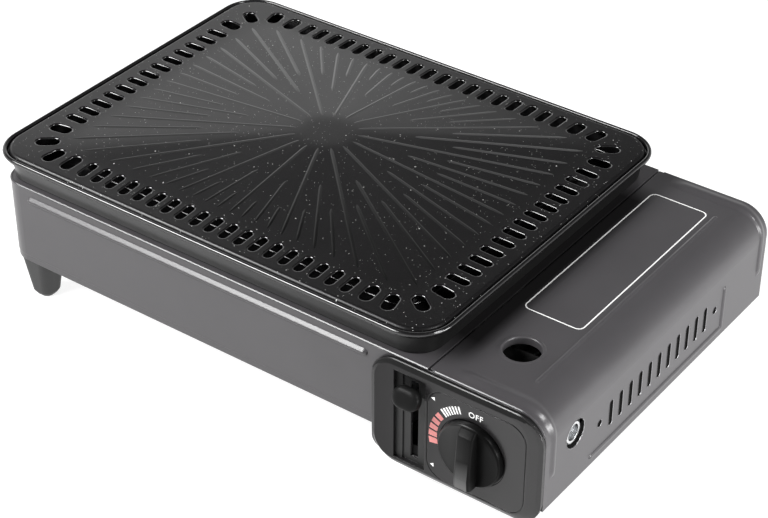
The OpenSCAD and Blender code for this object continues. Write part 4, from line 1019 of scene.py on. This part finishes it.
def panel_shoulder():
    """The matt black band between the panel's top edge and its face, painted shade on its upward bevel, and the
    bright edge along its top.
    """
    steps = 14
    degrees = [165 - 75 * k / steps for k in range(steps + 1)]
    degrees += [90 - 62 * k / steps for k in range(steps + 1)]

    def run(x0, x1, z1, radius, grow, y):
        """A line over the top of a rounded shape, from its left corner to its right one."""
        points = []
        for k, d in enumerate(degrees):
            a = math.radians(d)
            cx = x0 + radius if k <= steps else x1 - radius
            r = radius + grow
            points.append(at(cx + r * math.cos(a), y, z1 - radius + r * math.sin(a)))
        return points

    def along_top(grow, y):
        return run(PANEL_LEFT, BAY_WIDTH, PANEL_TOP, PANEL_CORNER, grow, y)

    outer = along_top(0.06, -2.66)
    face = run(PANEL_LEFT + 3, BAY_WIDTH - 9.8, PANEL_TOP - 4, FACE_CORNER, 0.5, -3.96)
    inner = []
    for k, d in enumerate(degrees):
        narrowing = (d - 130) / 35 if k <= steps else (90 - d) / 62
        inner.append(face[k].lerp(outer[k], min(max(narrowing, 0), 1)))
    band = [along_top(0.06, -0.4), outer, inner]
    strip("panel_shoulder", band, "shade_black", "housing")
    section = ((0.1, -1.6), (0.45, -2.3), (-0.3, -3.05), (-0.6, -2.9))
    edge = [along_top(grow, y) for grow, y in section]
    strip("panel_edge", edge, "panel_plastic", "housing")


def recess_lining():
    """Lining of the lever's recess round its slot; its upper end is black as painted shadow of the lid and the
    cap.
    """
    foot = -78.4
    bend = -24
    head = -8.6
    rail_y = -1.7
    floor_y = -0.8
    slot_left = -12.4
    slot_right = -6.6
    slot_foot = -74.6
    slot_head = -13.8
    plain = Build()
    black = Build()

    def pane(build, x0, x1, z0, z1, y):
        build.add([at(x0, y, z0), at(x1, y, z0), at(x1, y, z1), at(x0, y, z1)], [(0, 1, 2, 3)])

    for x0, x1, y in ((-23.4, -18.1, rail_y), (-1.4, 0.4, rail_y), (-17.9, slot_left, floor_y),
                      (slot_right, -1.6, floor_y)):
        pane(plain, x0, x1, foot, bend, y)
        pane(black, x0, x1, bend, head, y)
    pane(plain, slot_left, slot_right, foot, slot_foot, floor_y)
    pane(black, slot_left, slot_right, slot_head, head, floor_y)
    add_piece("recess_lining", plain, "recess_plastic", "housing", smooth=False)
    add_piece("recess_head", black, "shade_black", "housing", smooth=False)


# Printed marks on the panel and the lid

def flat_on_panel(build, outline):
    """Adds a thin printed shape, given as x and z in millimetres, to the panel's face."""
    points = [at(x, PANEL_Y - INK_LIFT, z) for x, z in outline]
    build.add(points, [tuple(range(len(points)))])


def dial_scale():
    """Thin white bars that pass into growing red blocks round the left of the knob, and two arrows."""
    white = Build()
    red = Build()

    def sector(build, r0, r1, start, width):
        pieces = 4
        outline = []
        for r, places in ((r1, range(pieces + 1)), (r0, range(pieces, -1, -1))):
            for k in places:
                a = math.radians(start + width * k / pieces)
                outline.append((DIAL_X + r * math.cos(a), DIAL_Z + r * math.sin(a)))
        flat_on_panel(build, outline)

    for k in range(7):
        sector(white, 27.8 - 0.12 * k, 33.2, 108 + 4.3 * k, 2.2 + 0.08 * k)
    for k in range(5):
        sector(red, 27.0 - 0.25 * k, 32.4, 142 + 10.4 * k, 7.4 + 0.25 * k)
    arrow_x = 6.5
    for z in (-17, -70):
        flat_on_panel(white, [(arrow_x - 1.6, z), (arrow_x + 1.2, z - 1.5), (arrow_x + 1.2, z + 1.5)])
    add_piece("dial_bars", white, "white_ink", "housing", smooth=False)
    add_piece("dial_blocks", red, "red_ink", "housing", smooth=False)


def off_word():
    """The word OFF above the knob."""
    curve = bpy.data.curves.new("off_word", "FONT")
    curve.body = "OFF"
    curve.size = 5.8 * MM
    curve.space_character = 1.1
    curve.align_x = "CENTER"
    curve.align_y = "CENTER"
    curve.extrude = 0.02 * MM
    curve.offset = 0.07 * MM
    word = bpy.data.objects.new("off_word", curve)
    bpy.context.scene.collection.objects.link(word)
    place = Matrix.Translation(at(38, PANEL_Y - INK_LIFT, -16.9))
    word.matrix_world = place @ Matrix.Rotation(math.pi / 2, 4, "X")
    curve.materials.append(MATERIALS["white_ink"])
    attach(word, "housing")


def lid_frame():
    """A plain white outline printed on the lid."""
    x0, x1 = 10.5, 54.5
    y0, y1 = 88, 252
    corner = 5
    line = 0.9
    rings = []
    for inset in (0, line):
        outline = rounded_outline((x1 - x0) / 2 - inset, (y1 - y0) / 2 - inset, corner - inset, 8, 4)
        rings.append([at((x0 + x1) / 2 + x, (y0 + y1) / 2 + y, 0.04) for x, y in outline])
    build = Build()
    build.loft(rings)
    add_piece("lid_outline", build, "white_ink", "lid", smooth=False)


# Studio

def floor():
    """A pale floor that glows a little, so that it passes into the white background."""
    size = 6
    mesh = bpy.data.meshes.new("floor")
    corners = [(-size, -size, 0), (size, -size, 0), (size, size, 0), (-size, size, 0)]
    mesh.from_pydata(corners, [], [(0, 1, 2, 3)])
    ground = bpy.data.objects.new("floor", mesh)
    bpy.context.scene.collection.objects.link(ground)
    material = new_material("pale_floor")
    set_inputs(shader_of(material), {
        "Base Color": (0.35, 0.35, 0.35, 1), "Roughness": 0.9, "Specular IOR Level": 0.1,
        "Emission Color": (1, 1, 1, 1), "Emission Strength": 0.82})
    mesh.materials.append(material)


def sky():
    """A bright horizon that darkens overhead."""
    world = bpy.data.worlds.new("studio")
    bpy.context.scene.world = world
    world.use_nodes = True
    tree = world.node_tree
    split = tree.nodes.new("ShaderNodeSeparateXYZ")
    link(tree, position(tree), "Generated", split, "Vector")
    colour = ramp(tree, split, "Z", greys((0.0, 0.85), (0.34, 0.42), (0.52, 0.2), (0.62, 0.07), (1.0, 0.07)))
    link(tree, colour, "Color", tree.nodes["Background"], "Color")


def softbox(name, direction, distance, width, height, radiance):
    """An area light that looks at the grill from a direction and is as bright as radiance says."""
    data = bpy.data.lights.new(name, "AREA")
    data.shape = "RECTANGLE"
    data.size = width
    data.size_y = height
    data.energy = radiance * math.pi * width * height
    lamp = bpy.data.objects.new(name, data)
    bpy.context.scene.collection.objects.link(lamp)
    target = Vector((0, 0, 0.08))
    lamp.location = target + Vector(direction).normalized() * distance
    lamp.rotation_euler = (target - lamp.location).to_track_quat("-Z", "Y").to_euler()


def studio():
    bpy.context.scene.view_settings.view_transform = "Standard"
    floor()
    sky()
    softbox("key_box", (-0.48, -0.57, 0.66), distance=1.7, width=1.1, height=0.55, radiance=25)
    softbox("right_box", (0.95, 0.05, 0.12), distance=1.7, width=1.2, height=0.45, radiance=18)
    softbox("back_box", (-0.82, 0.52, 0.31), distance=1.8, width=1.7, height=0.9, radiance=0.85)
    softbox("shoulder_box", (0.74, -0.02, 0.66), distance=1.7, width=0.4, height=0.4, radiance=26)


def camera():
    """The photograph's camera, solved from the grill's straight edges."""
    data = bpy.data.cameras.new("camera")
    data.sensor_width = 36
    data.lens = 98.59
    data.clip_start = 0.05
    eye = bpy.data.objects.new("camera", data)
    bpy.context.scene.collection.objects.link(eye)
    right = Vector((0.80631, 0.59149, 0.00252))
    up = Vector((-0.34199, 0.46271, 0.81789))
    turn = Matrix((right, up, right.cross(up))).transposed().to_4x4()
    eye.matrix_world = Matrix.Translation(at(575.159, -833.718, 794.542)) @ turn
    bpy.context.scene.camera = eye


dress_cad_nodes()
grill_plate()
drip_tray()
tray_wall()
knob()
grip_toe()
lever_cap()
bead_cap()
deck_edge()
lid_edge()
lid_humps()
lid_lips()
finger_rim()
dial_scale()
panel_shoulder()
recess_lining()
off_word()
lid_frame()
studio()
camera()
